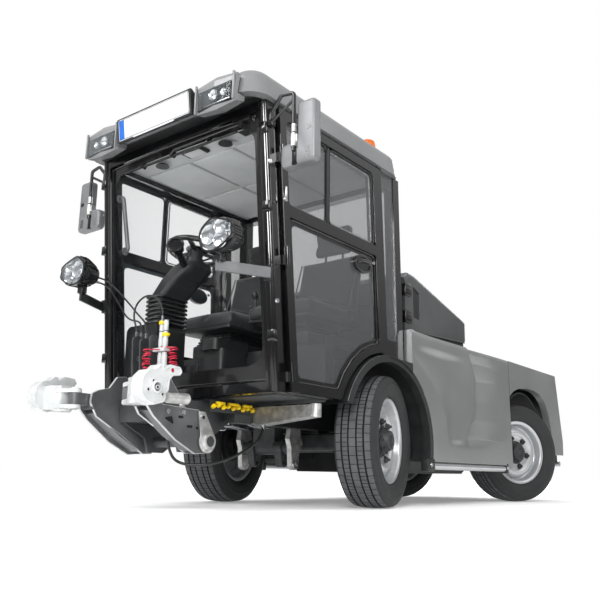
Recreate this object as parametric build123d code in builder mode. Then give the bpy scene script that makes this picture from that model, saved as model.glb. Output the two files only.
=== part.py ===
"""Compact municipal implement carrier: the road sweeper's machine without its sweeping gear.

A four-wheel machine with all-wheel steering, a glass cab at the front, a low deck with an
engine hood behind it, and a pair of lift arms in front that carry swinging coupler heads.

Frame: millimetres, Z up from the ground, -Y is forward and +X is the machine's left.
The origin is on the ground under the middle of the overall length.
"""

import os
from math import atan2, cos, degrees, hypot, pi, radians, sin, sqrt, tan

from build123d import *

os.makedirs("parts", exist_ok=True)

# ---------------------------------------------------------------- driving sizes
SEAT = 0.3  # clearance between pieces of one body that rest on each other
RUN = 0.06  # radial clearance of a pin or shaft that turns
GAP = 6.0  # shut line between pieces that move past each other

# axles and wheels
FRONT_AXLE_Y = -605
REAR_AXLE_Y = 1328
TYRE_R = 343
AXLE_Z = TYRE_R
KINGPIN_X = 430
KINGPIN_R = 15
KINGPIN_TO_WHEEL = 90
TYRE_HALF_W = 112
RIM_SEAT_R = 204
RIM_FLANGE_H = 16
RIM_FLANGE_R = RIM_SEAT_R + RIM_FLANGE_H
RIM_HALF_W = 84
RIM_LIP = 8
DISC_T = 8
BORE_R = 80
STUD_CIRCLE_R = 102.5
NUT_R = 15
FRONT_STEER = 13.5  # the front wheels stand turned to the left
REAR_STEER = -27.5  # and the rear ones the other way

# chassis
RAIL_X = 175
RAIL_W = 50
RAIL_Z0 = 400
RAIL_H = 105
RAIL_Z1 = RAIL_Z0 + RAIL_H
RAIL_OUT = RAIL_X + RAIL_W / 2
RAIL_IN = RAIL_X - RAIL_W / 2
RAIL_FRONT_Y = -1330
RAIL_REAR_Y = 1960

# wheel arches
ARCH_R = 440
ARCH_T = 8
FLARE_W = 35
REAR_ARCH_R = 433
ARCH_TOP_Z = AXLE_Z + ARCH_R

# widths that hang together
BODY_HALF_W = 645
CAB_INSET = 45
PILLAR_OUT = BODY_HALF_W - CAB_INSET
PILLAR_W = 62
PILLAR_IN = PILLAR_OUT - PILLAR_W
FRAME_SIDE = PILLAR_OUT - 18  # outer face of the rails that the doors close over

# cab
CAB_Z0 = 510
CAB_Z1 = 1850
SCREEN_Y0 = -1495
SCREEN_Y1 = -1625
PILLAR_D = 70
RAIL_TUBE = 46
FLOOR_T = 26
RISER_Y = -1062
PLATE_T = 10
CAB_REAR_Y0 = -399
CAB_REAR_Y1 = -425
REAR_WALL_Z = 1130
GLASS = 5
DOOR_OUT = PILLAR_OUT + 20
DOOR_T = 34
DOOR_Z0 = CAB_Z0 + 4
DOOR_Z1 = CAB_Z1 - 18
DOOR_REAR_Y0 = -628
DOOR_REAR_Y1 = -692
DOOR_ARCH_R = ARCH_R + 15
DOOR_RIM = 44
HINGE_X = DOOR_OUT + 12
HINGE_R = 10
HINGE_H = 44
HINGE_PIN_R = 5
HINGE_HEIGHTS = (600, 1120, 1600)
BELT_Z = 1345
BELT_H = 58
DIVIDER_Y = -1144
DIVIDER_W = 16
B_POST_W = 44
ROOF_BROW = 117
ROOF_FRONT_Y = SCREEN_Y1 - ROOF_BROW
ROOF_REAR_Y = CAB_REAR_Y1 + 9
ROOF_HALF_W = PILLAR_OUT + 30
ROOF_CORNER_R = 116
ROOF_Z0 = CAB_Z1 + SEAT
ROOF_Z1 = 1988
ROOF_T = 22
ROOF_TAPER = 9

# body behind the cab
PANEL_T = 50
PANEL_IN = BODY_HALF_W - PANEL_T
DECK_Z = 965
DECK_T = 22
SILL_Z = 243
PANEL_FRONT_Y = -372
SPLIT_Y = 984
SHUT = 8
DECK_REAR_Y = 1915
HOOD_HALF_W = BODY_HALF_W - 140
HOOD_T = 18
HOOD_FRONT_Y = -212
HOOD_REAR_Y = 600
HOOD_FRONT_Z = 1002
HOOD_REAR_Z = 1046
HOOD_TOP_Z = 1376
HOOD_TAIL_Z = 1200
SILL_TUBE_R = 21

# front lift arms and heads
ARM_X = 188
ARM_HALF_W = 48
CHEEK_T = 12
PIVOT_Y = -1552
PIVOT_Z = 300
PIVOT_PIN_R = 22
TIP_Z = PIVOT_Z + 178
SWING_Y = PIVOT_Y - 410
SWING_PIN_R = 16
LUG_R = 28
LUG_HALF_H = 26
HEAD_X = 361
HEAD_HALF_T = 30
HEAD_Y = SWING_Y - 28
HEAD_Z = 492
HEAD_R = 70
HEAD_BORE_R = 18
NOSE_X = 106
NOSE_T = 16
NOSE_BOX_HALF_W = ARM_X - ARM_HALF_W - GAP
LUG_PLATE_T = 8


def save(piece, name):
    """Labels a finished piece and writes it under its node's name."""
    piece.label = name
    export_step(piece, f"parts/{name}.step")


def lean(z, low_y, high_y):
    """Y at height z on a cab line that leans from low_y at the sill to high_y at the roof."""
    return low_y + (high_y - low_y) * (z - CAB_Z0) / (CAB_Z1 - CAB_Z0)


def on_circle(radius, z, side, centre_y=FRONT_AXLE_Y):
    """Y of a wheel arch's circle at height z, on its front (-1) or rear (+1) side."""
    return centre_y + side * sqrt(radius**2 - (z - AXLE_Z) ** 2)


def steered(piece, side, axle_y, angle):
    """A corner's piece, built straight ahead and turned about its kingpin."""
    return piece.rotate(Axis((side * KINGPIN_X, axle_y, 0), (0, 0, 1)), angle)


def both_sides(builder):
    """One piece made of the left hand part and its mirror image."""
    return Compound([builder, builder.mirror(Plane.YZ)])


# ---------------------------------------------------------------- wheels and knuckles
def build_tyre(side, axle_y):
    """A van tyre's outer form: beads, bulged sidewalls, shoulders and a crowned tread."""
    centre = side * (KINGPIN_X + KINGPIN_TO_WHEEL)
    seat = RIM_SEAT_R + SEAT
    inner = RIM_HALF_W - RIM_LIP - SEAT
    bulge = (RIM_FLANGE_R + TYRE_R) / 2
    with BuildPart() as tyre:
        with BuildSketch(Plane((centre, axle_y, AXLE_Z), x_dir=(1, 0, 0), z_dir=(0, -1, 0))):
            with BuildLine():
                Polyline((-inner, seat), (inner, seat), (inner, RIM_FLANGE_R + 1))
                Line((inner, RIM_FLANGE_R + 1), (inner + 14, RIM_FLANGE_R + 3))
                ThreePointArc(
                    (inner + 14, RIM_FLANGE_R + 3), (TYRE_HALF_W, bulge), (103, TYRE_R - 24)
                )
                ThreePointArc((103, TYRE_R - 24), (98, TYRE_R - 13), (84, TYRE_R - 6))
                ThreePointArc((84, TYRE_R - 6), (0, TYRE_R), (-84, TYRE_R - 6))
                ThreePointArc((-84, TYRE_R - 6), (-98, TYRE_R - 13), (-103, TYRE_R - 24))
                ThreePointArc(
                    (-103, TYRE_R - 24), (-TYRE_HALF_W, bulge), (-inner - 14, RIM_FLANGE_R + 3)
                )
                Line((-inner - 14, RIM_FLANGE_R + 3), (-inner, RIM_FLANGE_R + 1))
                Line((-inner, RIM_FLANGE_R + 1), (-inner, seat))
            make_face()
        revolve(axis=Axis((centre, axle_y, AXLE_Z), (1, 0, 0)))
    return tyre.part


def build_rim(side, axle_y):
    """A pressed steel wheel: flanged barrel with a well, dished disc, hub cap and six nuts."""
    centre = side * (KINGPIN_X + KINGPIN_TO_WHEEL)
    edge = RIM_HALF_W
    lip = RIM_HALF_W - RIM_LIP
    barrel = [
        (-edge, RIM_FLANGE_R), (-lip, RIM_FLANGE_R), (-lip, RIM_SEAT_R), (-30, RIM_SEAT_R),
        (-18, RIM_SEAT_R - 18), (14, RIM_SEAT_R - 18), (28, RIM_SEAT_R), (lip, RIM_SEAT_R),
        (lip, RIM_FLANGE_R), (edge, RIM_FLANGE_R), (edge, RIM_SEAT_R + 1),
        (lip + 2, RIM_SEAT_R - 7), (32, RIM_SEAT_R - 7), (20, RIM_SEAT_R - 25),
        (-22, RIM_SEAT_R - 25), (-34, RIM_SEAT_R - 7), (-lip - 2, RIM_SEAT_R - 7),
        (-edge, RIM_SEAT_R + 1),
    ]
    disc = [
        (10, RIM_SEAT_R - 22), (20, RIM_SEAT_R - 22), (40, RIM_SEAT_R - 28),
        (58, 150), (60, 132), (46, 120), (46, BORE_R), (46 - DISC_T, BORE_R),
        (46 - DISC_T, 126), (50, 137), (49, 148), (33, RIM_SEAT_R - 36), (10, RIM_SEAT_R - 30),
    ]
    profile = Plane((centre, axle_y, AXLE_Z), x_dir=(side, 0, 0), z_dir=(0, -side, 0))
    face = Plane((centre + side * 46, axle_y, AXLE_Z), x_dir=(0, 1, 0), z_dir=(side, 0, 0))
    with BuildPart() as rim:
        with BuildSketch(profile):
            with BuildLine():
                Polyline(*barrel, close=True)
            make_face()
            with BuildLine():
                Polyline(*disc, close=True)
            make_face()
        revolve(axis=Axis((centre, axle_y, AXLE_Z), (1, 0, 0)))
        with BuildSketch(face):
            with PolarLocations(STUD_CIRCLE_R, 6):
                RegularPolygon(NUT_R, 6)
        extrude(amount=18)
        with BuildSketch(face.offset(-DISC_T)):
            Circle(BORE_R + 1)
        extrude(amount=28)
        with BuildSketch(face.offset(20)):
            Circle(58)
        extrude(amount=22, taper=12)
    return rim.part


def build_knuckle(side, axle_y, arm_dir):
    """Kingpin and boss, wheel motor drum, spindle to the hub, and the steering arm."""
    pin_x = side * KINGPIN_X
    motor = Plane((pin_x + side * 46, axle_y, AXLE_Z), x_dir=(0, 1, 0), z_dir=(side, 0, 0))
    hub_face = KINGPIN_TO_WHEEL + 46 - DISC_T - SEAT
    reach = arm_dir * 118
    with BuildPart() as knuckle:
        with BuildSketch(Plane((pin_x, axle_y, AXLE_Z - 58))):
            Circle(33)
        extrude(amount=116)
        with BuildSketch(Plane((pin_x, axle_y, AXLE_Z - 92))):
            Circle(KINGPIN_R)
        extrude(amount=184)
        with BuildSketch(motor):
            Circle(104)
        extrude(amount=58)
        with BuildSketch(motor.offset(-26)):
            Circle(56)
        extrude(amount=27)
        with BuildSketch(motor.offset(57)):
            Circle(52)
        extrude(amount=hub_face - 46 - 57)
        with BuildSketch(Plane((pin_x, axle_y, AXLE_Z - 44))):
            with BuildLine():
                Polyline((-26, 0), (26, 0), (-side * 6 + 16, reach), (-side * 6 - 16, reach),
                         close=True)
            make_face()
            with Locations((-side * 6, reach)):
                Circle(19)
            with Locations((-side * 6, reach)):
                Circle(8, mode=Mode.SUBTRACT)
        extrude(amount=18)
    return knuckle.part


CORNERS = [  # name, side, axle y, steer angle at rest, direction of the steering arm
    ("front_left", 1, FRONT_AXLE_Y, FRONT_STEER, 1),
    ("front_right", -1, FRONT_AXLE_Y, FRONT_STEER, 1),
    ("rear_left", 1, REAR_AXLE_Y, REAR_STEER, -1),
    ("rear_right", -1, REAR_AXLE_Y, REAR_STEER, -1),
]
for corner, side, axle_y, steer, arm_dir in CORNERS:
    save(steered(build_tyre(side, axle_y), side, axle_y, steer), f"{corner}_tyre")
    save(steered(build_rim(side, axle_y), side, axle_y, steer), f"{corner}_rim")
    save(steered(build_knuckle(side, axle_y, arm_dir), side, axle_y, steer), f"{corner}_knuckle")


# ---------------------------------------------------------------- axles
EAR_T = 26
EAR_GAP = 1.0
BOSS_HALF = 58


def build_axle(axle_y, arm_dir):
    """A cast beam with forked ends round the kingpins, rail pads and a steering cylinder."""
    ear_top = BOSS_HALF + EAR_GAP + EAR_T
    with BuildPart() as axle:
        with BuildSketch(Plane.YZ):
            with Locations((axle_y, AXLE_Z - 2)):
                RectangleRounded(92, 96, 18)
        extrude(amount=KINGPIN_X - 62, both=True)
        for side in (1, -1):
            for ear_z in (AXLE_Z - ear_top, AXLE_Z + BOSS_HALF + EAR_GAP):
                with BuildSketch(Plane.XY.offset(ear_z)):
                    with Locations((side * KINGPIN_X, axle_y)):
                        Circle(36)
                    with Locations((side * (KINGPIN_X - 40), axle_y)):
                        Rectangle(80, 72)
                    with Locations((side * KINGPIN_X, axle_y)):
                        Circle(KINGPIN_R + RUN, mode=Mode.SUBTRACT)
                extrude(amount=EAR_T)
            with BuildSketch(Plane.XY.offset(AXLE_Z - ear_top)):
                with Locations((side * (KINGPIN_X - 65), axle_y)):
                    Rectangle(30, 72)
            extrude(amount=2 * ear_top)
            with BuildSketch(Plane.XY.offset(AXLE_Z + 40)):
                with Locations((side * RAIL_X, axle_y)):
                    Rectangle(RAIL_W, 110)
            extrude(amount=RAIL_Z0 - AXLE_Z - 40)
        with BuildSketch(Plane.YZ):
            with Locations((axle_y + arm_dir * 92, AXLE_Z - 30)):
                Circle(26)
        extrude(amount=205, both=True)
        with BuildSketch(Plane.YZ):
            with Locations((axle_y + arm_dir * 92, AXLE_Z - 30)):
                Circle(11)
        extrude(amount=262, both=True)
        for x in (-150, 0, 150):
            with BuildSketch(Plane.YZ.offset(x)):
                with Locations((axle_y + arm_dir * 60, AXLE_Z - 22)):
                    Rectangle(50, 44)
            extrude(amount=8, both=True)
    return axle.part


save(build_axle(FRONT_AXLE_Y, 1), "front_axle")
save(build_axle(REAR_AXLE_Y, -1), "rear_axle")

# ---------------------------------------------------------------- chassis
HANGER_Y = -845
CROSS_MEMBERS = [  # y of the middle, depth along y
    (RAIL_FRONT_Y + 30, 60),
    (HANGER_Y, 80),
    (-300, 70),
    (500, 70),
    (RAIL_REAR_Y - 30, 60),
]
NOSE_BOX_Y = -1690
NOSE_BOX_D = 120
NOSE_BOX_Z0 = 385
NOSE_BOX_Z1 = 458
with BuildPart() as chassis:
    for side in (1, -1):
        with BuildSketch(Plane.XY.offset(RAIL_Z0)):
            with Locations((side * RAIL_X, (RAIL_FRONT_Y + RAIL_REAR_Y) / 2)):
                Rectangle(RAIL_W, RAIL_REAR_Y - RAIL_FRONT_Y)
        extrude(amount=RAIL_H)
    for y, depth in CROSS_MEMBERS:
        with BuildSketch(Plane.XY.offset(RAIL_Z0 + 12)):
            with Locations((0, y)):
                Rectangle(2 * RAIL_X, depth)
        extrude(amount=RAIL_H - 24)
    # two nose plates carry the lift arms' pivot shaft and the hose tower
    for side in (1, -1):
        with BuildSketch(Plane.YZ.offset(side * NOSE_X - NOSE_T / 2)):
            with BuildLine():
                Polyline(
                    (RAIL_FRONT_Y + 60, RAIL_Z1 - 12), (PIVOT_Y - 30, RAIL_Z1 - 12),
                    (NOSE_BOX_Y + NOSE_BOX_D / 2, NOSE_BOX_Z1),
                    (NOSE_BOX_Y - NOSE_BOX_D / 2, NOSE_BOX_Z1),
                    (NOSE_BOX_Y - NOSE_BOX_D / 2, NOSE_BOX_Z0), (PIVOT_Y - 70, PIVOT_Z + 20),
                    (PIVOT_Y - 46, PIVOT_Z - 46), (PIVOT_Y + 46, PIVOT_Z - 46),
                    (RAIL_FRONT_Y + 60, RAIL_Z0 + 12), close=True,
                )
            make_face()
        extrude(amount=NOSE_T)
    with BuildSketch(Plane.XY.offset(NOSE_BOX_Z0)):
        with Locations((0, NOSE_BOX_Y)):
            Rectangle(2 * NOSE_BOX_HALF_W, NOSE_BOX_D)
    extrude(amount=NOSE_BOX_Z1 - NOSE_BOX_Z0)
    with BuildSketch(Plane.YZ):
        with Locations((PIVOT_Y, PIVOT_Z)):
            Circle(PIVOT_PIN_R)
    extrude(amount=ARM_X + ARM_HALF_W + LUG_PLATE_T + 20, both=True)
    for side in (1, -1):
        with BuildSketch(Plane.YZ.offset(side * (ARM_X + ARM_HALF_W + LUG_PLATE_T + 4))):
            with Locations((PIVOT_Y, PIVOT_Z)):
                Circle(33)
        extrude(amount=side * 16)
save(chassis.part, "chassis_frame")

TANK_HALF_W = 400
TANK_Z = 185
TANK_Y0 = FRONT_AXLE_Y + ARCH_R + 15
TANK_LEN = 960
with BuildPart() as tank:
    with BuildSketch(Plane.XZ.offset(-TANK_Y0)):
        with BuildLine():
            Polyline(
                (-TANK_HALF_W, RAIL_Z0 - SEAT), (-TANK_HALF_W, TANK_Z + 65),
                (-TANK_HALF_W + 60, TANK_Z), (TANK_HALF_W - 60, TANK_Z),
                (TANK_HALF_W, TANK_Z + 65), (TANK_HALF_W, RAIL_Z0 - SEAT), close=True,
            )
        make_face()
    extrude(amount=-TANK_LEN)
save(tank.part, "tank_box")

ENGINE_Y0 = -150
ENGINE_LEN = 620
ENGINE_W = 520
ENGINE_H = 560
with BuildPart() as engine:
    with BuildSketch(Plane.XY.offset(RAIL_Z1 + SEAT)):
        with Locations((0, ENGINE_Y0 + ENGINE_LEN / 2)):
            Rectangle(ENGINE_W, ENGINE_LEN)
    extrude(amount=ENGINE_H)
save(engine.part, "engine_block")

# ---------------------------------------------------------------- hangers under the cab
HANGER_T = 30
HANGER_BORE_Z = 215
HANGER_BORE_R = 13
HANGER_TUBE_Z = 299
HANGER_TUBE_R = 34
LOBE_Z = 224
with BuildPart() as hangers:
    with BuildSketch(Plane.YZ.offset(RAIL_X - HANGER_T / 2)):
        with BuildLine():
            Polyline(
                (HANGER_Y - 40, RAIL_Z0 - SEAT), (HANGER_Y + 40, RAIL_Z0 - SEAT),
                (HANGER_Y + 50, 352), (HANGER_Y + 62, 326), (HANGER_Y + 62, 298),
                (HANGER_Y + 34, 284), (HANGER_Y + 29, HANGER_BORE_Z),
                (HANGER_Y - 29, HANGER_BORE_Z), (HANGER_Y - 34, 300), (HANGER_Y - 50, 345),
                close=True,
            )
        make_face()
        with Locations((HANGER_Y, HANGER_BORE_Z)):
            Circle(29)
        with Locations((HANGER_Y, HANGER_BORE_Z)):
            Circle(HANGER_BORE_R, mode=Mode.SUBTRACT)
        with Locations((HANGER_Y + 46, 312)):
            Circle(6.5, mode=Mode.SUBTRACT)
    extrude(amount=HANGER_T)
    fillet(hangers.edges().filter_by(Axis.X), 4)
    mirror(about=Plane.YZ)
save(hangers.part, "linkage_hangers")

TUBE_LEN = 2 * (RAIL_X - HANGER_T / 2 - SEAT)
with BuildPart() as cross_tube:
    with BuildSketch(Plane.YZ.offset(-TUBE_LEN / 2)):
        with Locations((HANGER_Y, HANGER_TUBE_Z)):
            Circle(HANGER_TUBE_R)
    extrude(amount=TUBE_LEN)
    for x in (-96, 96):
        with BuildSketch(Plane.YZ.offset(x - 28)):
            with Locations((HANGER_Y, HANGER_TUBE_Z)):
                Circle(HANGER_TUBE_R + 12)
        extrude(amount=56)
        with BuildSketch(Plane.YZ.offset(x - 22)):
            with BuildLine():
                Polyline(
                    (HANGER_Y - HANGER_TUBE_R - 8, HANGER_TUBE_Z), (HANGER_Y - 24, LOBE_Z),
                    (HANGER_Y + 24, LOBE_Z), (HANGER_Y + HANGER_TUBE_R + 8, HANGER_TUBE_Z),
                    close=True,
                )
            make_face()
            with Locations((HANGER_Y, LOBE_Z)):
                Circle(24)
            with Locations((HANGER_Y, LOBE_Z)):
                Circle(9, mode=Mode.SUBTRACT)
        extrude(amount=44)
    # the flat saddle that ties the tube to both rails' cross member
    with BuildSketch(Plane.XY.offset(HANGER_TUBE_Z)):
        with Locations((0, HANGER_Y)):
            Rectangle(150, 74)
    extrude(amount=RAIL_Z0 + 12 - HANGER_TUBE_Z - SEAT)
save(cross_tube.part, "cross_tube")

OUTRIGGER_Y = -1170
OUTRIGGER_END = 566
OUTRIGGER_TOP = 482
OUTRIGGER_D = 56
OUTRIGGER_LUG_R = 27
OUTRIGGER_BORE_R = 10
with BuildPart() as outriggers:
    with BuildSketch(Plane.XZ.offset(-OUTRIGGER_Y - OUTRIGGER_D / 2)):
        with BuildLine():
            Polyline(
                (RAIL_OUT, OUTRIGGER_TOP), (OUTRIGGER_END, OUTRIGGER_TOP),
                (OUTRIGGER_END, OUTRIGGER_TOP - 56), (RAIL_OUT + 40, RAIL_Z0 - 6),
                (RAIL_OUT, RAIL_Z0), close=True,
            )
        make_face()
    extrude(amount=OUTRIGGER_D)
    # a wider lower flange gives the arm its channel look
    with BuildSketch(Plane.XZ.offset(-OUTRIGGER_Y - OUTRIGGER_D / 2 - 12)):
        with BuildLine():
            Polyline(
                (OUTRIGGER_END, OUTRIGGER_TOP - 56), (OUTRIGGER_END, OUTRIGGER_TOP - 48),
                (RAIL_OUT + 40, RAIL_Z0 + 2), (RAIL_OUT + 2, RAIL_Z0 + 6),
                (RAIL_OUT + 2, RAIL_Z0), (RAIL_OUT + 40, RAIL_Z0 - 6), close=True,
            )
        make_face()
    extrude(amount=OUTRIGGER_D + 24)
    with BuildSketch(Plane.XY.offset(OUTRIGGER_TOP - 58)):
        with Locations((OUTRIGGER_END, OUTRIGGER_Y)):
            Circle(OUTRIGGER_LUG_R)
    extrude(amount=62)
    with BuildSketch(Plane.XY.offset(OUTRIGGER_TOP - 60)):
        with Locations((OUTRIGGER_END, OUTRIGGER_Y)):
            Circle(OUTRIGGER_BORE_R)
    extrude(amount=70, mode=Mode.SUBTRACT)
    mirror(about=Plane.YZ)
save(outriggers.part, "outriggers")


# ---------------------------------------------------------------- wheel arches
def arch_band(axle_y, outer_r, inner_r, x0, x1, low_front, low_rear):
    """A curved strip round a wheel, cut off at a low edge in front and behind."""
    with BuildPart() as band:
        with BuildSketch(Plane.YZ.offset(x0)):
            with Locations((axle_y, AXLE_Z)):
                Circle(outer_r)
                Circle(inner_r, mode=Mode.SUBTRACT)
            with Locations((axle_y - outer_r, low_front - outer_r)):
                Rectangle(2 * outer_r, 2 * outer_r, mode=Mode.SUBTRACT)
            with Locations((axle_y + outer_r, low_rear - outer_r)):
                Rectangle(2 * outer_r, 2 * outer_r, mode=Mode.SUBTRACT)
        extrude(amount=x1 - x0)
    return band.part


def arch_wall(axle_y, outer_r, x0, x1, low_z):
    """The flat inner wall of a wheel arch above the chassis rail."""
    with BuildPart() as wall:
        with BuildSketch(Plane.YZ.offset(x0)):
            with Locations((axle_y, AXLE_Z)):
                Circle(outer_r)
            with Locations((axle_y, low_z - outer_r)):
                Rectangle(2 * outer_r, 2 * outer_r, mode=Mode.SUBTRACT)
        extrude(amount=x1 - x0)
    return wall.part


WALL_X0 = RAIL_OUT + SEAT
WALL_X1 = WALL_X0 + ARCH_T
FLARE_LOW_FRONT = 500
FLARE_LOW_REAR = 262
front_band = arch_band(
    FRONT_AXLE_Y, ARCH_R, ARCH_R - ARCH_T, WALL_X0, PILLAR_OUT + 1, FLARE_LOW_FRONT, FLARE_LOW_REAR
)
front_flare = arch_band(
    FRONT_AXLE_Y, ARCH_R, ARCH_R - FLARE_W, PILLAR_OUT, BODY_HALF_W, FLARE_LOW_FRONT,
    FLARE_LOW_REAR,
)
front_wall = arch_wall(FRONT_AXLE_Y, ARCH_R, WALL_X0, WALL_X1, RAIL_Z0 + 4)
HORN_FRONT_Y = -622
HORN_Z = ARCH_TOP_Z - 8
horn_rear_y = PANEL_FRONT_Y - 12 - SHUT
with BuildPart() as horn:
    with BuildSketch(Plane.YZ.offset(PILLAR_OUT + 4)):
        with BuildLine():
            Polyline(
                (HORN_FRONT_Y, HORN_Z), (horn_rear_y, HORN_Z - 6), (horn_rear_y, HORN_Z - 60),
                (HORN_FRONT_Y, HORN_Z - 60), close=True,
            )
        make_face()
        with Locations((FRONT_AXLE_Y, AXLE_Z)):
            Circle(ARCH_R - 10, mode=Mode.SUBTRACT)
    extrude(amount=BODY_HALF_W + 8 - PILLAR_OUT - 4)
front_arch = front_band + front_flare + front_wall + horn.part
save(both_sides(front_arch), "front_arches")

rear_band = arch_band(
    REAR_AXLE_Y, REAR_ARCH_R, REAR_ARCH_R - ARCH_T, WALL_X0, PANEL_IN - SEAT, 300, 300
)
rear_wall = arch_wall(REAR_AXLE_Y, REAR_ARCH_R, WALL_X0, WALL_X1, RAIL_Z0 + 4)
save(both_sides(rear_band + rear_wall), "rear_arches")

# ---------------------------------------------------------------- cab
A_REAR_Y0 = SCREEN_Y0 + PILLAR_D
A_REAR_Y1 = SCREEN_Y1 + PILLAR_D
B_FRONT_Y0 = DOOR_REAR_Y0 + GAP
B_FRONT_Y1 = DOOR_REAR_Y1 + GAP
C_FRONT_Y0 = CAB_REAR_Y0 - 62
C_FRONT_Y1 = CAB_REAR_Y1 - 62
HINGE_LINE = (A_REAR_Y0 + GAP / 2, A_REAR_Y1 + GAP / 2)
HINGE_DIR = (0, SCREEN_Y1 - SCREEN_Y0, CAB_Z1 - CAB_Z0)
UPPER_Z0 = ARCH_TOP_Z + SEAT  # underside of the raised floor over the wheels


def post(x0, x1, z0, z1, front, rear):
    """A leaning post between two heights; front and rear are (sill, roof) pairs of Y."""
    with BuildPart() as piece:
        with BuildSketch(Plane.YZ.offset(x0)):
            with BuildLine():
                Polyline(
                    (lean(z0, *front), z0), (lean(z0, *rear), z0),
                    (lean(z1, *rear), z1), (lean(z1, *front), z1), close=True,
                )
            make_face()
        extrude(amount=x1 - x0)
    return piece.part


def bar(x0, x1, y0, y1, z0, z1):
    """A straight square member given by its corners."""
    return Pos((x0 + x1) / 2, (y0 + y1) / 2, (z0 + z1) / 2) * Box(x1 - x0, y1 - y0, z1 - z0)


def hinge_leaf(z, half):
    """Half of a door hinge: the post's leaf and pin below (-1), the door's eye above (+1)."""
    plane = Plane((HINGE_X, lean(z, *HINGE_LINE), z), x_dir=(1, 0, 0), z_dir=HINGE_DIR)
    with BuildPart() as leaf:
        with BuildSketch(plane.offset(SEAT if half > 0 else -HINGE_H)):
            Circle(HINGE_R)
            if half < 0:
                with Locations((-(HINGE_X - PILLAR_OUT) / 2, -18)):
                    Rectangle(HINGE_X - PILLAR_OUT, 36)
            else:
                with Locations((-(HINGE_X - DOOR_OUT) / 2 - 3, 14)):
                    Rectangle(HINGE_X - DOOR_OUT + 8, 28)
            if half > 0:
                Circle(HINGE_PIN_R + RUN, mode=Mode.SUBTRACT)
        extrude(amount=HINGE_H - (SEAT if half > 0 else 0))
        if half < 0:
            with BuildSketch(plane.offset(-1)):
                Circle(HINGE_PIN_R)
            extrude(amount=HINGE_H)
    return leaf.part


SCREEN = (SCREEN_Y0, SCREEN_Y1)
A_REAR = (A_REAR_Y0, A_REAR_Y1)
B_FRONT = (B_FRONT_Y0, B_FRONT_Y1)
B_REAR = (B_FRONT_Y0 + B_POST_W, B_FRONT_Y1 + B_POST_W)
C_FRONT = (C_FRONT_Y0, C_FRONT_Y1)
C_REAR = (CAB_REAR_Y0, CAB_REAR_Y1)
a_post = post(PILLAR_IN, PILLAR_OUT, CAB_Z0, CAB_Z1, SCREEN, A_REAR)
a_post = fillet(a_post.edges().filter_by(lambda e: e.length > 1000).group_by(Axis.X)[-1], 14)
b_post = post(PILLAR_IN, DOOR_OUT - 6, UPPER_Z0, CAB_Z1, B_FRONT, B_REAR)
c_post = post(PILLAR_IN, PILLAR_OUT, UPPER_Z0, CAB_Z1, C_FRONT, C_REAR)
top_rail = post(PILLAR_IN, FRAME_SIDE, CAB_Z1 - RAIL_TUBE, CAB_Z1, SCREEN, C_REAR)
mid_rail = post(PILLAR_IN, FRAME_SIDE, UPPER_Z0, UPPER_Z0 + RAIL_TUBE, (RISER_Y, RISER_Y), C_REAR)
sill = bar(PILLAR_IN, FRAME_SIDE, A_REAR_Y0 - 20, RISER_Y + RAIL_TUBE - 34, CAB_Z0, CAB_Z0 + RAIL_TUBE)
riser_post = bar(
    PILLAR_IN, FRAME_SIDE, RISER_Y, RISER_Y + PLATE_T + 2, CAB_Z0, UPPER_Z0 + RAIL_TUBE
)
quarter_sill = post(
    PILLAR_IN, PILLAR_OUT, UPPER_Z0, UPPER_Z0 + 96, (B_REAR[0] - 4, B_REAR[1]), C_REAR
)
cab_side = a_post + b_post + c_post + top_rail + mid_rail + sill + riser_post + quarter_sill
for z in HINGE_HEIGHTS:
    cab_side += hinge_leaf(z, -1)
front_sill = post(-PILLAR_IN - 1, PILLAR_IN + 1, CAB_Z0, CAB_Z0 + RAIL_TUBE, SCREEN, A_REAR)
front_head = post(-PILLAR_IN - 1, PILLAR_IN + 1, CAB_Z1 - RAIL_TUBE, CAB_Z1, SCREEN, A_REAR)
rear_head = post(-PILLAR_IN - 1, PILLAR_IN + 1, CAB_Z1 - RAIL_TUBE, CAB_Z1, C_FRONT, C_REAR)
rear_low = post(
    -PILLAR_IN - 1, PILLAR_IN + 1, UPPER_Z0, REAR_WALL_Z, (CAB_REAR_Y0 - 24, CAB_REAR_Y1 - 24),
    C_REAR,
)
cab_frame = cab_side + cab_side.mirror(Plane.YZ) + front_sill + front_head + rear_head + rear_low
save(cab_frame, "cab_frame")

floor_front = A_REAR_Y0 + SEAT
with BuildPart() as cab_floor:
    with BuildSketch(Plane.YZ.offset(-PILLAR_IN + SEAT)):
        with BuildLine():
            Polyline(
                (floor_front, RAIL_Z1 + SEAT), (RISER_Y + PLATE_T, RAIL_Z1 + SEAT),
                (RISER_Y + PLATE_T, UPPER_Z0), (CAB_REAR_Y0 - 40, UPPER_Z0),
                (CAB_REAR_Y0 - 40, UPPER_Z0 + PLATE_T), (RISER_Y, UPPER_Z0 + PLATE_T),
                (RISER_Y, RAIL_Z1 + FLOOR_T), (floor_front, RAIL_Z1 + FLOOR_T), close=True,
            )
        make_face()
    extrude(amount=2 * (PILLAR_IN - SEAT))
save(cab_floor.part, "cab_floor")

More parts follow.
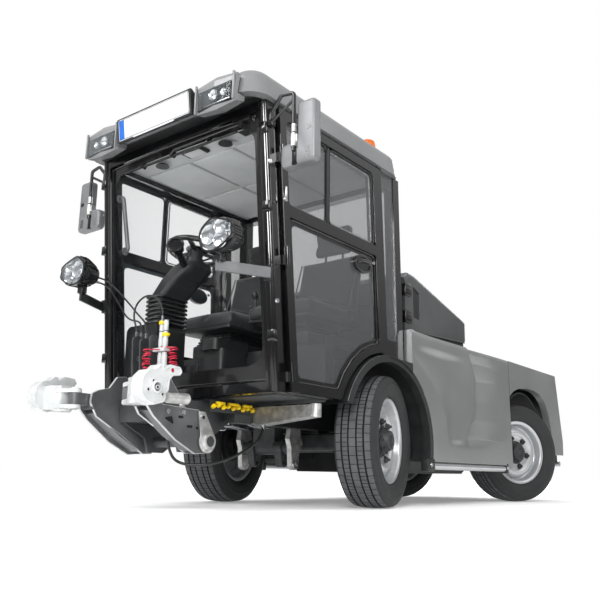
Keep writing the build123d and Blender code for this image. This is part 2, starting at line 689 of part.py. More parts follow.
# windscreen: a shallow arc in plan, leaning with the pillars, rounded lower corners
SCREEN_BULGE = 26
SCREEN_HALF_W = PILLAR_IN - SEAT
screen_angle = degrees(atan2(SCREEN_Y0 - SCREEN_Y1, CAB_Z1 - CAB_Z0))
screen_len = hypot(SCREEN_Y1 - SCREEN_Y0, CAB_Z1 - CAB_Z0)
screen_plane = Plane(
    (0, SCREEN_Y0, CAB_Z0), x_dir=(1, 0, 0),
    z_dir=(0, sin(radians(-screen_angle)), cos(radians(-screen_angle))),
)
with BuildPart() as windscreen:
    with BuildSketch(screen_plane.offset(RAIL_TUBE + 6)):
        with BuildLine():
            edge = 20
            ThreePointArc(
                (-SCREEN_HALF_W, edge), (0, edge - SCREEN_BULGE), (SCREEN_HALF_W, edge)
            )
            Line((SCREEN_HALF_W, edge), (SCREEN_HALF_W, edge + GLASS))
            ThreePointArc(
                (SCREEN_HALF_W, edge + GLASS), (0, edge + GLASS - SCREEN_BULGE),
                (-SCREEN_HALF_W, edge + GLASS),
            )
            Line((-SCREEN_HALF_W, edge + GLASS), (-SCREEN_HALF_W, edge))
        make_face()
    extrude(amount=screen_len - 2 * RAIL_TUBE - 12)
save(windscreen.part, "windscreen")

rear_glass = post(
    -PILLAR_IN + SEAT, PILLAR_IN - SEAT, REAR_WALL_Z + SEAT, CAB_Z1 - RAIL_TUBE - SEAT,
    (CAB_REAR_Y0 - 20, CAB_REAR_Y1 - 20), (CAB_REAR_Y0 - 20 + GLASS, CAB_REAR_Y1 - 20 + GLASS),
)
save(rear_glass, "rear_window")

quarter = post(
    590, 590 + GLASS, UPPER_Z0 + 96 + SEAT, CAB_Z1 - 4,
    (B_REAR[0] + SEAT, B_REAR[1] + SEAT), (C_FRONT[0] - SEAT, C_FRONT[1] - SEAT),
)
save(both_sides(quarter), "quarter_windows")

# ---------------------------------------------------------------- roof
def roof_face(z):
    """Y of the roof's tapered front face at height z."""
    return ROOF_FRONT_Y + (z - ROOF_Z0) * tan(radians(ROOF_TAPER))


with BuildPart() as roof:
    with BuildSketch(Plane.XY.offset(ROOF_Z0)):
        with Locations((0, (ROOF_FRONT_Y + ROOF_REAR_Y) / 2)):
            RectangleRounded(2 * ROOF_HALF_W, ROOF_REAR_Y - ROOF_FRONT_Y, ROOF_CORNER_R)
    extrude(amount=ROOF_Z1 - ROOF_Z0, taper=ROOF_TAPER)
    fillet(roof.faces().sort_by(Axis.Z)[-1].edges(), 56)
    with BuildSketch(Plane.XY.offset(ROOF_Z0)):
        with Locations((0, (ROOF_FRONT_Y + ROOF_REAR_Y) / 2)):
            RectangleRounded(
                2 * (ROOF_HALF_W - 45), ROOF_REAR_Y - ROOF_FRONT_Y - 90, ROOF_CORNER_R - 40
            )
    extrude(amount=ROOF_Z1 - ROOF_Z0 - ROOF_T, taper=ROOF_TAPER, mode=Mode.SUBTRACT)
save(roof.part, "roof")

with BuildPart() as headliner:
    with BuildSketch(Plane.XY.offset(CAB_Z1 - 16)):
        with Locations((0, (A_REAR_Y1 + C_FRONT_Y1) / 2)):
            Rectangle(2 * (PILLAR_IN - SEAT), C_FRONT_Y1 - A_REAR_Y1 - 12)
    extrude(amount=16)
save(headliner.part, "headliner")

POD_X0 = 292  # the lamp pods at both ends of the roof's front face
POD_X1 = 545
POD_OUT = 38
POD_Z0 = 1790
POD_Z1 = 1950
LENS_X0 = 312
LENS_X1 = 524
LENS_Z0 = 1806
LENS_Z1 = 1900
LENS_DEPTH = 24
with BuildPart() as roof_lamps:
    with BuildSketch(Plane.YZ.offset((POD_X0 + POD_X1) / 2)):
        with BuildLine():
            Polyline(
                (roof_face(POD_Z1) - SEAT, POD_Z1), (ROOF_FRONT_Y - POD_OUT + 14, POD_Z1 + 4),
                (ROOF_FRONT_Y - POD_OUT, POD_Z1 - 22), (ROOF_FRONT_Y - POD_OUT - 4, POD_Z0 + 22),
                (ROOF_FRONT_Y - POD_OUT + 16, POD_Z0), (ROOF_FRONT_Y + 40, POD_Z0 + 14),
                (ROOF_FRONT_Y + 52, ROOF_Z0 - SEAT), (ROOF_FRONT_Y - SEAT, ROOF_Z0 - SEAT),
                close=True,
            )
        make_face()
    extrude(amount=(POD_X1 - POD_X0) / 2, both=True, taper=5)
    with BuildSketch(Plane.XZ.offset(-ROOF_FRONT_Y + POD_OUT - LENS_DEPTH)):
        with Locations(((LENS_X0 + LENS_X1) / 2, (LENS_Z0 + LENS_Z1) / 2)):
            RectangleRounded(LENS_X1 - LENS_X0, LENS_Z1 - LENS_Z0, 12)
    extrude(amount=60, mode=Mode.SUBTRACT)
    mirror(about=Plane.YZ)
save(roof_lamps.part, "roof_lamps")

PLATE_HALF_W = 260
PLATE_H = 110
with BuildPart() as plate:
    with BuildSketch(Plane.YZ.offset(-PLATE_HALF_W - 12)):
        with BuildLine():
            Polyline(
                (roof_face(1872) - SEAT, 1872), (ROOF_FRONT_Y - 22, 1812),
                (ROOF_FRONT_Y - 34, 1812), (ROOF_FRONT_Y - 52, 1938),
                (ROOF_FRONT_Y - 40, 1938), (roof_face(1902) - SEAT, 1902), close=True,
            )
        make_face()
    extrude(amount=2 * (PLATE_HALF_W + 12))
save(plate.part, "plate_board")

BEACON_X = 450
BEACON_Y = -520
with BuildPart() as beacon:
    with BuildSketch(Plane((BEACON_X, BEACON_Y, ROOF_Z1 + SEAT))):
        Circle(60)
    extrude(amount=26)
    with BuildSketch(Plane((BEACON_X, BEACON_Y, ROOF_Z1 + SEAT + 26))):
        Circle(52)
    extrude(amount=100, taper=5)
    fillet(beacon.faces().sort_by(Axis.Z)[-1].edges(), 18)
save(beacon.part, "beacon")


# ---------------------------------------------------------------- doors
def door_outline(margin=0.0):
    """The closed line round a door in the YZ plane, over the wheel arch behind."""
    front = (A_REAR_Y0 + GAP + margin, A_REAR_Y1 + GAP + margin)
    rear = (DOOR_REAR_Y0 - margin, DOOR_REAR_Y1 - margin)
    z0 = DOOR_Z0 + margin
    z1 = DOOR_Z1 - margin
    radius = DOOR_ARCH_R + margin
    arc_y = on_circle(radius, z0, -1)
    corner_z = AXLE_Z + sqrt(radius**2 - (lean(796, *rear) - FRONT_AXLE_Y) ** 2)
    middle = FRONT_AXLE_Y - radius * cos(radians(55))
    middle_z = AXLE_Z + radius * sin(radians(55))
    with BuildLine() as line:
        Line((lean(z0, *front), z0), (arc_y, z0))
        ThreePointArc((arc_y, z0), (middle, middle_z), (lean(796, *rear), corner_z))
        Line((lean(796, *rear), corner_z), (lean(z1, *rear), z1))
        Line((lean(z1, *rear), z1), (lean(z1, *front), z1))
        Line((lean(z1, *front), z1), (lean(z0, *front), z0))
    return line.line


WINDOW_R = 34
PULL_Y = -838  # the recessed pull on the lower pane
PULL_Z = 1240


def window_face(margin, radius):
    """The window opening inside a door's rim, with its corners rounded."""
    with BuildSketch() as face:
        make_face(door_outline(margin))
        fillet(face.vertices(), radius)
    return face.sketch_local


with BuildPart() as door:
    with BuildSketch(Plane.YZ.offset(DOOR_OUT - DOOR_T)):
        make_face(door_outline())
        add(window_face(DOOR_RIM, WINDOW_R), mode=Mode.SUBTRACT)
    extrude(amount=DOOR_T)
    belt = post(
        DOOR_OUT - DOOR_T, DOOR_OUT, BELT_Z - BELT_H / 2, BELT_Z + BELT_H / 2,
        (A_REAR_Y0 + GAP + 10, A_REAR_Y1 + GAP + 10), (DOOR_REAR_Y0 - 10, DOOR_REAR_Y1 - 10),
    )
    add(belt)
    divider = post(
        DOOR_OUT - DOOR_T + 8, DOOR_OUT - 8, BELT_Z, DOOR_Z1 - DOOR_RIM + 4,
        (DIVIDER_Y - DIVIDER_W / 2, DIVIDER_Y - DIVIDER_W / 2),
        (DIVIDER_Y + DIVIDER_W / 2, DIVIDER_Y + DIVIDER_W / 2),
    )
    add(divider)
    for z in HINGE_HEIGHTS:
        add(hinge_leaf(z, 1))
with BuildPart() as pull:
    with BuildSketch(Plane.YZ.offset(DOOR_OUT - 16 + SEAT)):
        with Locations((PULL_Y, PULL_Z)):
            Ellipse(76, 48)
    extrude(amount=20)
    with BuildSketch(Plane.YZ.offset(DOOR_OUT - 12 + SEAT)):
        with Locations((PULL_Y, PULL_Z)):
            Ellipse(62, 34)
    extrude(amount=20, mode=Mode.SUBTRACT)
    with BuildSketch(Plane.YZ.offset(DOOR_OUT - 2)):
        with Locations((PULL_Y, PULL_Z + 8)):
            RectangleRounded(136, 20, 9)
    extrude(amount=10)
belt_slot = post(
    DOOR_OUT - DOOR_T, DOOR_OUT, BELT_Z - BELT_H / 2 - SEAT, BELT_Z + BELT_H / 2 + SEAT,
    (A_REAR_Y0, A_REAR_Y1), (DOOR_REAR_Y0, DOOR_REAR_Y1),
)
divider_slot = post(
    DOOR_OUT - DOOR_T, DOOR_OUT, BELT_Z, DOOR_Z1,
    (DIVIDER_Y - DIVIDER_W / 2 - SEAT, DIVIDER_Y - DIVIDER_W / 2 - SEAT),
    (DIVIDER_Y + DIVIDER_W / 2 + SEAT, DIVIDER_Y + DIVIDER_W / 2 + SEAT),
)
with BuildPart() as door_glass:
    with BuildSketch(Plane.YZ.offset(DOOR_OUT - 16 - GLASS)):
        add(window_face(DOOR_RIM + SEAT, WINDOW_R - SEAT))
    extrude(amount=GLASS)
    add(belt_slot, mode=Mode.SUBTRACT)
    add(divider_slot, mode=Mode.SUBTRACT)
for name, sign in (("door_left", 1), ("door_right", -1)):
    shell = Compound([door.part, pull.part])
    frame = shell if sign > 0 else shell.mirror(Plane.YZ)
    panes = door_glass.part if sign > 0 else door_glass.part.mirror(Plane.YZ)
    save(frame, f"{name}_frame")
    save(panes, f"{name}_glass")

# ---------------------------------------------------------------- body behind the cab
front_edge_low = on_circle(ARCH_R + 4, SILL_Z, 1)
DENT = [  # height, y of the crease, depth behind it
    (DECK_Z + 12, 318, 14),
    (880, 372, 34),
    (769, 434, 42),
    (640, 416, 42),
    (520, 358, 38),
    (395, 268, 8),
]
with BuildPart() as side_panel:
    with BuildSketch(Plane.YZ.offset(PANEL_IN)):
        with BuildLine():
            top_front = (PANEL_FRONT_Y - 12, DECK_Z)
            notch = (PANEL_FRONT_Y - 14, AXLE_Z + sqrt(
                (ARCH_R + 4) ** 2 - (PANEL_FRONT_Y - 14 - FRONT_AXLE_Y) ** 2))
            low = (front_edge_low, SILL_Z)
            mid = (FRONT_AXLE_Y + (ARCH_R + 4) * cos(radians(15)),
                   AXLE_Z + (ARCH_R + 4) * sin(radians(15)))
            Line(top_front, notch)
            ThreePointArc(notch, mid, low)
            Polyline(
                low, (SPLIT_Y - SHUT / 2, SILL_Z), (SPLIT_Y - SHUT / 2, DECK_Z), top_front
            )
        make_face()
    extrude(amount=PANEL_T)
    for z, crease_y, depth in DENT:
        with BuildSketch(Plane.XY.offset(z)):
            with BuildLine():
                Polyline(
                    (BODY_HALF_W + 4, crease_y - 4), (BODY_HALF_W - depth, crease_y + 26),
                    (BODY_HALF_W + 4, SPLIT_Y + 60), close=True,
                )
            make_face()
    loft(ruled=True, mode=Mode.SUBTRACT)
save(both_sides(side_panel.part), "side_panels")

REAR_ARCH_LINE = [  # y, z along the open edge over the rear wheel
    (SPLIT_Y + SHUT / 2, 718), (1062, 758), (1183, 789), (1380, 802), (1560, 782),
    (1670, 728), (1735, 640), (1775, 520), (1800, 400), (1808, 342),
]
TAIL_FOOT_Y = 2018
TAIL_BULGE_Y = 2031
TAIL_BULGE_Z = 448
TAIL_TOP_Y = 1943
SKIRT_Z = 342
with BuildPart() as fender:
    with BuildSketch(Plane.YZ.offset(PANEL_IN)):
        with BuildLine():
            Spline(*REAR_ARCH_LINE)
            Polyline(
                REAR_ARCH_LINE[-1], (TAIL_FOOT_Y, SKIRT_Z), (TAIL_BULGE_Y, TAIL_BULGE_Z),
                (TAIL_TOP_Y, DECK_Z),
                (SPLIT_Y + SHUT / 2, DECK_Z), REAR_ARCH_LINE[0],
            )
        make_face()
    extrude(amount=PANEL_T)
save(both_sides(fender.part), "rear_fenders")

with BuildPart() as rear_panel:
    with BuildSketch(Plane.YZ.offset(-PANEL_IN + SEAT)):
        with BuildLine():
            Polyline(
                (TAIL_FOOT_Y - 24, SKIRT_Z), (TAIL_FOOT_Y, SKIRT_Z),
                (TAIL_BULGE_Y, TAIL_BULGE_Z), (TAIL_TOP_Y, DECK_Z), (TAIL_TOP_Y - 25, DECK_Z),
                (TAIL_BULGE_Y - 25, TAIL_BULGE_Z), close=True,
            )
        make_face()
    extrude(amount=2 * (PANEL_IN - SEAT))
save(rear_panel.part, "rear_panel")

BULKHEADS = [  # y of the front face, height of the foot, thickness
    (-185, RAIL_Z1 + SEAT, 12),
    (876, RAIL_Z1 + SEAT, 12),
    (1780, RAIL_Z1 + SEAT, 12),
]
REBATE = 5  # the hood's base stands in a low step of the deck
BASE_HALF_W = HOOD_HALF_W - 10
BASE_REAR_Y = HOOD_REAR_Y - 8
with BuildPart() as deck:
    with BuildSketch(Plane.XY.offset(DECK_Z - DECK_T)):
        with Locations((0, (PANEL_FRONT_Y + DECK_REAR_Y) / 2)):
            Rectangle(2 * (PANEL_IN - SEAT), DECK_REAR_Y - PANEL_FRONT_Y)
        with Locations((0, ENGINE_Y0 + ENGINE_LEN / 2)):
            Rectangle(ENGINE_W + 60, ENGINE_LEN + 50, mode=Mode.SUBTRACT)
    extrude(amount=DECK_T)
    for y, foot, thick in BULKHEADS:
        with BuildSketch(Plane.XY.offset(foot)):
            with Locations((0, y + thick / 2)):
                Rectangle(2 * (PANEL_IN - SEAT), thick)
        extrude(amount=DECK_Z - DECK_T - foot + 1)
    with BuildSketch(Plane.XY.offset(DECK_Z)):
        with Locations((0, (HOOD_FRONT_Y + BASE_REAR_Y) / 2)):
            Rectangle(2 * (BASE_HALF_W + SEAT), BASE_REAR_Y - HOOD_FRONT_Y + 2 * SEAT)
    extrude(amount=-REBATE, mode=Mode.SUBTRACT)
save(deck.part, "deck")

# ---------------------------------------------------------------- hood
def hood_profile(shrink=0.0, drop=0.0):
    """The wedge's outline in the YZ plane, shrunk at its top and ends, dropped at its foot."""
    with BuildLine() as line:
        Polyline(
            (HOOD_FRONT_Y + shrink, HOOD_FRONT_Z - drop),
            (HOOD_FRONT_Y + 12 + shrink, HOOD_TOP_Z - 40),
            (HOOD_FRONT_Y + 60 + shrink / 2, HOOD_TOP_Z - shrink),
            (HOOD_FRONT_Y + 130, HOOD_TOP_Z - 8 - shrink),
            (HOOD_REAR_Y + 6 - shrink, HOOD_TAIL_Z - shrink),
            (HOOD_REAR_Y - 8 - shrink, HOOD_REAR_Z - drop), close=True,
        )
    return line.line


HOOD_PIN_Y = HOOD_REAR_Y + 10
HOOD_PIN_Z = HOOD_REAR_Z
HOOD_EYE_R = 9
HOOD_PIN_R = 4
HOOD_EYE_X = HOOD_HALF_W - 125
HOOD_EYE_W = 30
LATCH_ZS = (1259, 1095)
with BuildPart() as hood:
    with BuildSketch(Plane.YZ):
        make_face(hood_profile())
    extrude(amount=HOOD_HALF_W, both=True)
    fillet(hood.faces().filter_by(lambda f: f.normal_at().Z > 0.4).edges().filter_by(
        lambda e: abs(e.center().X) > HOOD_HALF_W - 1), 26)
    with BuildSketch(Plane.YZ):
        make_face(hood_profile(HOOD_T, 30))
    extrude(amount=HOOD_HALF_W - HOOD_T, both=True, mode=Mode.SUBTRACT)
    # shallow upright recess behind the latches
    for side in (1, -1):
        with BuildSketch(Plane.YZ.offset(side * HOOD_HALF_W)):
            with BuildLine():
                Polyline(
                    (HOOD_FRONT_Y + 106, 1100), (HOOD_FRONT_Y + 190, 1092),
                    (HOOD_FRONT_Y + 190, 1262), (HOOD_FRONT_Y + 106, 1296), close=True,
                )
            make_face()
        extrude(amount=-side * 8, mode=Mode.SUBTRACT)
        for z in LATCH_ZS:
            with BuildSketch(Plane.XY.offset(z - 19)):
                with Locations((side * (HOOD_HALF_W - 12), HOOD_FRONT_Y + 36)):
                    RectangleRounded(44, 80, 8)
            extrude(amount=38)
    for side in (1, -1):
        with BuildSketch(Plane.YZ.offset(side * HOOD_EYE_X)):
            with Locations((HOOD_PIN_Y, HOOD_PIN_Z)):
                Circle(HOOD_EYE_R)
            with Locations(((HOOD_REAR_Y - 12 + HOOD_PIN_Y) / 2, HOOD_PIN_Z + 5)):
                Rectangle(HOOD_PIN_Y - HOOD_REAR_Y + 12, 8)
            with Locations((HOOD_PIN_Y, HOOD_PIN_Z)):
                Circle(HOOD_PIN_R + RUN, mode=Mode.SUBTRACT)
        extrude(amount=side * HOOD_EYE_W)
save(hood.part, "hood")

BASE_Z = DECK_Z - REBATE + SEAT
with BuildPart() as hood_base:
    with BuildSketch(Plane.YZ):
        with BuildLine():
            Polyline(
                (HOOD_FRONT_Y, BASE_Z), (HOOD_FRONT_Y, HOOD_FRONT_Z - SEAT),
                (BASE_REAR_Y, HOOD_REAR_Z - SEAT), (BASE_REAR_Y, BASE_Z), close=True,
            )
        make_face()
    extrude(amount=BASE_HALF_W, both=True)
    with BuildSketch(Plane.XY.offset(BASE_Z - 1)):
        with Locations((0, ENGINE_Y0 + ENGINE_LEN / 2)):
            Rectangle(ENGINE_W + 60, ENGINE_LEN + 50)
    extrude(amount=200, mode=Mode.SUBTRACT)
    for side in (1, -1):
        with BuildSketch(Plane.YZ.offset(side * (HOOD_EYE_X + HOOD_EYE_W + 1))):
            with Locations((HOOD_PIN_Y, HOOD_PIN_Z)):
                Circle(HOOD_EYE_R)
            with Locations(((HOOD_REAR_Y - 12 + HOOD_PIN_Y) / 2, HOOD_PIN_Z - 6)):
                Rectangle(HOOD_PIN_Y - HOOD_REAR_Y + 12, 6)
        extrude(amount=side * HOOD_EYE_W)
        with BuildSketch(Plane.YZ.offset(side * HOOD_EYE_X)):
            with Locations((HOOD_PIN_Y, HOOD_PIN_Z)):
                Circle(HOOD_PIN_R)
        extrude(amount=side * (HOOD_EYE_W + 4))
save(hood_base.part, "hood_base")

# ---------------------------------------------------------------- side tubes and tail
with BuildPart() as side_tubes:
    with BuildSketch(Plane.XZ.offset(175)):
        with Locations((BODY_HALF_W - 25, SILL_Z - SILL_TUBE_R - SEAT)):
            Circle(SILL_TUBE_R)
    extrude(amount=-1040)
    mirror(about=Plane.YZ)
save(side_tubes.part, "side_tubes")

TAIL_Y = 2050
TAIL_Z = 278
TAIL_TUBE_R = 21
with BuildPart() as tail:
    with BuildSketch(Plane.YZ):
        with Locations((TAIL_Y, TAIL_Z)):
            Circle(TAIL_TUBE_R)
    extrude(amount=600, both=True)
    for side in (1, -1):
        with BuildSketch(Plane.XY.offset(TAIL_Z - 14)):
            with Locations((side * RAIL_X, (RAIL_REAR_Y - 40 + TAIL_Y) / 2)):
                Rectangle(RAIL_W, TAIL_Y - RAIL_REAR_Y + 40)
        extrude(amount=28)
        with BuildSketch(Plane.XY.offset(TAIL_Z)):
            with Locations((side * RAIL_X, RAIL_REAR_Y - 20)):
                Rectangle(RAIL_W, 40)
        extrude(amount=RAIL_Z0 - TAIL_Z)
save(tail.part, "tail_bar")

# ---------------------------------------------------------------- cab furniture
SEAT_X = 270
floor_top = RAIL_Z1 + FLOOR_T
upper_top = UPPER_Z0 + PLATE_T


def build_seat(x):
    """A moulded bucket seat: pedestal, cushion, leaning back and headrest in one body."""
    with BuildPart() as seat:
        with BuildSketch(Plane((x, -880, upper_top + SEAT))):
            Rectangle(300, 330)
        extrude(amount=150)
        with BuildSketch(Plane((x, -900, upper_top + SEAT + 149))):
            RectangleRounded(450, 450, 60)
        extrude(amount=95)
        with BuildSketch(Plane.YZ.offset(x - 215)):
            with BuildLine():
                Polyline(
                    (-760, upper_top + 180), (-640, upper_top + 180), (-560, 1395),
                    (-655, 1400), close=True,
                )
            make_face()
        extrude(amount=430)
        with BuildSketch(Plane.YZ.offset(x - 130)):
            with BuildLine():
                Polyline((-645, 1398), (-575, 1390), (-560, 1590), (-640, 1590), close=True)
            make_face()
        extrude(amount=260)
    return seat.part


save(Compound([build_seat(SEAT_X), build_seat(-SEAT_X)]), "seats")

WHEEL_CENTRE = (-250, -1208, 1372)
WHEEL_TILT = 13
WHEEL_R = 172
WHEEL_TUBE_R = 15
WHEEL_HUB_D = 50  # how far the wheel's hub reaches down its axis
PEDESTAL = (-508, -262, -1450, -1250)  # x and y limits of the column's foot box
PEDESTAL_TOP = 925
BOOT_RIBS = 6
BOOT_PITCH = 23
BOOT_X = -318
BOOT_Y = -1342
BOOT_TOP = PEDESTAL_TOP + BOOT_RIBS * BOOT_PITCH
COLUMN_SECTIONS = [  # z, middle x, middle y, width x, depth y, corner radius
    (BOOT_TOP - 1, -318, -1342, 104, 200, 30),
    (1190, -300, -1262, 136, 214, 40),
    (1262, -276, -1214, 168, 214, 56),
    (1296, -262, -1206, 138, 176, 56),
]
column_dir = Vector(0, sin(radians(WHEEL_TILT)), cos(radians(WHEEL_TILT)))
wheel_plane = Plane(WHEEL_CENTRE, z_dir=column_dir)
with BuildPart() as column:
    with BuildSketch(Plane.XZ.offset(-PEDESTAL[2])):
        with BuildLine():
            Polyline(
                (PEDESTAL[0], floor_top + SEAT), (PEDESTAL[1], floor_top + SEAT),
                (PEDESTAL[1], PEDESTAL_TOP), (PEDESTAL[0], PEDESTAL_TOP), close=True,
            )
        make_face()
        fillet(vertices().group_by(Axis.Y)[-1], 36)
    extrude(amount=-(PEDESTAL[3] - PEDESTAL[2]))
    # ribbed boot round the tilting column
    for k in range(BOOT_RIBS):
        for z, grow, high in ((0, 0, BOOT_PITCH), (6, 9, BOOT_PITCH - 12)):
            with BuildSketch(Plane((BOOT_X, BOOT_Y, PEDESTAL_TOP + k * BOOT_PITCH + z - 1))):
                RectangleRounded(100 + 2 * grow, 196 + 2 * grow, 28)
            extrude(amount=high + (1 if z == 0 else 0))
with BuildPart() as column_cover:
    for z, x, y, width, depth, radius in COLUMN_SECTIONS:
        with BuildSketch(Plane((x, y, z))):
            RectangleRounded(width, depth, radius)
    loft(ruled=True)
    with BuildSketch(wheel_plane.offset(-WHEEL_HUB_D - 60)):
        Circle(50)
    extrude(amount=60 - SEAT)
sill_space = bar(
    PEDESTAL[0] - 1, PEDESTAL[1] + 1, PEDESTAL[2] - 1, A_REAR_Y0 + SEAT,
    floor_top - 1, CAB_Z0 + RAIL_TUBE + SEAT,
)
save(column.part + column_cover.part - sill_space, "steering_column")

with BuildPart() as steering_wheel:
    with BuildSketch(Plane(wheel_plane.origin, x_dir=wheel_plane.z_dir, z_dir=wheel_plane.x_dir)):
        with Locations((0, WHEEL_R - WHEEL_TUBE_R)):
            Circle(WHEEL_TUBE_R)
    revolve(axis=Axis(wheel_plane.origin, wheel_plane.z_dir))
    with BuildSketch(wheel_plane.offset(-WHEEL_HUB_D)):
        Circle(40)
    extrude(amount=WHEEL_HUB_D + 4)
    for angle in (90, 210, 330):
        with BuildSketch(wheel_plane.offset(-9)):
            with Locations((cos(radians(angle)) * 88, sin(radians(angle)) * 88)):
                Rectangle(142, 28, rotation=angle)
        extrude(amount=10)
save(steering_wheel.part, "steering_wheel")

with BuildPart() as console:
    with BuildSketch(Plane((0, -1210, floor_top + SEAT))):
        RectangleRounded(150, 200, 30)
    extrude(amount=250)
    with BuildSketch(Plane((0, -1210, floor_top + SEAT + 240))):
        RectangleRounded(120, 260, 30)
    extrude(amount=60)
save(console.part, "console")

# ---------------------------------------------------------------- mirrors and head lamps
MIRROR_X = 757
MIRROR_W = 196
MIRROR_Y = -1562
MIRROR_D = 44
MIRROR_Z0 = 1495
MIRROR_H = 305
MIRROR_TUBE_R = 9
MIRROR_STEM_X = MIRROR_X - 14
MIRROR_STEM_Y = MIRROR_Y - MIRROR_D / 2 - 6
MIRROR_FOOT_X = PILLAR_OUT + 12
with BuildPart() as mirror_arm:
    with BuildLine() as route:
        FilletPolyline(
            (MIRROR_FOOT_X, -1590, 1790), (672, -1594, 1856), (MIRROR_STEM_X, -1592, 1846),
            (MIRROR_STEM_X, MIRROR_STEM_Y, 1560), radius=20,
        )
    with BuildSketch(Plane(route.line @ 0, z_dir=route.line % 0)):
        Circle(MIRROR_TUBE_R)
    sweep()
with BuildPart() as mirror_brace:
    with BuildLine() as route:
        Polyline((MIRROR_FOOT_X, -1590, 1742), (MIRROR_STEM_X, -1592, 1812))
    with BuildSketch(Plane(route.line @ 0, z_dir=route.line % 0)):
        Circle(7)
    sweep()
mirror_foot = bar(PILLAR_OUT + SEAT, PILLAR_OUT + 18, -1606, -1570, 1722, 1806)
with BuildPart() as mirror_head:
    with BuildSketch(Plane((MIRROR_X, MIRROR_Y, MIRROR_Z0), x_dir=(1, 0, 0))):
        RectangleRounded(MIRROR_W, MIRROR_D, 18)
    extrude(amount=MIRROR_H)
    fillet(mirror_head.faces().filter_by(Axis.Z).edges(), 17)
    # the open channel that the stem runs down
    with BuildSketch(Plane((MIRROR_STEM_X, MIRROR_Y - MIRROR_D / 2, MIRROR_Z0 - 1))):
        RectangleRounded(34, 40, 8)
    extrude(amount=MIRROR_H + 2, mode=Mode.SUBTRACT)
mirror_clamp = bar(
    MIRROR_STEM_X - 22, MIRROR_STEM_X + 22, MIRROR_STEM_Y - 4, MIRROR_Y, 1600, 1690
)
save(both_sides(
    mirror_arm.part + mirror_brace.part + mirror_head.part + mirror_clamp + mirror_foot
), "mirrors")

LAMP_C = (505, -1806, 1155)
LAMP_D = 104
LAMP_LINE = [  # outboard, up from the lamp's middle, round its lens
    (-95, 22), (-52, 67), (-10, 76), (91, 42), (101, 8), (97, -28), (0, -75), (-74, -56),
]
STRIP_Z = 1030
STRIP_H = 46
STRIP_T = 10
strip_foot = (592, lean(STRIP_Z, *SCREEN) - 16)
with BuildPart() as head_lamps:
    with BuildSketch(Plane(LAMP_C, x_dir=(1, 0, 0), z_dir=(0, -1, 0)).offset(-LAMP_D)):
        with BuildLine():
            Spline(*LAMP_LINE, periodic=True)
        make_face()
        scale(by=0.62)
    with BuildSketch(Plane(LAMP_C, x_dir=(1, 0, 0), z_dir=(0, -1, 0)).offset(-22)):
        with BuildLine():
            Spline(*LAMP_LINE, periodic=True)
        make_face()
    with BuildSketch(Plane(LAMP_C, x_dir=(1, 0, 0), z_dir=(0, -1, 0))):
        with BuildLine():
            Spline(*LAMP_LINE, periodic=True)
        make_face()
    loft(ruled=True)
    with BuildSketch(Plane((LAMP_C[0] - 16, LAMP_C[1] + 40, STRIP_Z + STRIP_H / 2 - 4))):
        RectangleRounded(40, 34, 6)
    extrude(amount=LAMP_C[2] - 60 - STRIP_Z - STRIP_H / 2 + 4)
    with BuildLine() as strip:
        Polyline((LAMP_C[0] - 24, LAMP_C[1] + 26, STRIP_Z), (*strip_foot, STRIP_Z))
    with BuildSketch(Plane(strip.line @ 0, x_dir=(0, 0, 1), z_dir=strip.line % 0)):
        Rectangle(STRIP_H, STRIP_T)
    sweep()
    add(post(PILLAR_IN + 22, PILLAR_OUT - 6, STRIP_Z - 34, STRIP_Z + 34,
             (SCREEN[0] - 18, SCREEN[1] - 18), (SCREEN[0] - SEAT, SCREEN[1] - SEAT)))
save(both_sides(head_lamps.part), "head_lamps")

# ---------------------------------------------------------------- hose tower between the arms
TOWER_T = 10
TOWER_W = 84
TOWER_TOP_Y = -1716
TOWER_FOOT_Y = NOSE_BOX_Y
TOWER_PLATES = [  # inner face x, top z, hole size, holes
    (-84, 786, 11, 5), (-30, 772, 8, 5), (38, 780, 8, 6),
]
with BuildPart() as tower:
    with BuildSketch(Plane((0, NOSE_BOX_Y, NOSE_BOX_Z1 + SEAT))):
        RectangleRounded(2 * NOSE_BOX_HALF_W - 12, NOSE_BOX_D - 10, 8)
    extrude(amount=TOWER_T)
    for x, top_z, hole_r, holes in TOWER_PLATES:
        with BuildSketch(Plane.YZ.offset(x)):
            with BuildLine():
                Polyline(
                    (TOWER_FOOT_Y - TOWER_W / 2, NOSE_BOX_Z1 + 4),
                    (TOWER_FOOT_Y + TOWER_W / 2, NOSE_BOX_Z1 + 4),
                    (TOWER_TOP_Y + TOWER_W / 2 - 6, top_z),
                    (TOWER_TOP_Y - TOWER_W / 2 + 6, top_z), close=True,
                )
            make_face()
            fillet(vertices().filter_by(lambda v, z=top_z: v.Y > z - 1), 24)
            for k in range(holes):
                share = (k + 0.8) / (holes + 0.6)
                with Locations((
                    TOWER_FOOT_Y + (TOWER_TOP_Y - TOWER_FOOT_Y) * share - 14 * (k % 2) + 7,
                    NOSE_BOX_Z1 + (top_z - NOSE_BOX_Z1) * share,
                )):
                    Circle(hole_r, mode=Mode.SUBTRACT)
        extrude(amount=TOWER_T)
    # two spacers hold the plates to each other
    for z in (560, 690):
        share = (z - NOSE_BOX_Z1) / (TOWER_PLATES[0][1] - NOSE_BOX_Z1)
        with BuildSketch(Plane.YZ.offset(TOWER_PLATES[0][0])):
            with Locations((TOWER_FOOT_Y + 26 + (TOWER_TOP_Y - TOWER_FOOT_Y) * share, z)):
                Circle(9)
        extrude(amount=TOWER_PLATES[-1][0] + TOWER_T - TOWER_PLATES[0][0])
save(tower.part, "hose_tower")


# ---------------------------------------------------------------- lift arms and heads
BOSS_R = 52
CHEEK_IN = ARM_X - ARM_HALF_W
CHEEK_OUT = ARM_X + ARM_HALF_W - CHEEK_T
WEB_T = 12
TIP_FRONT = SWING_Y + 57  # the outer cheek ends short of the swinging head


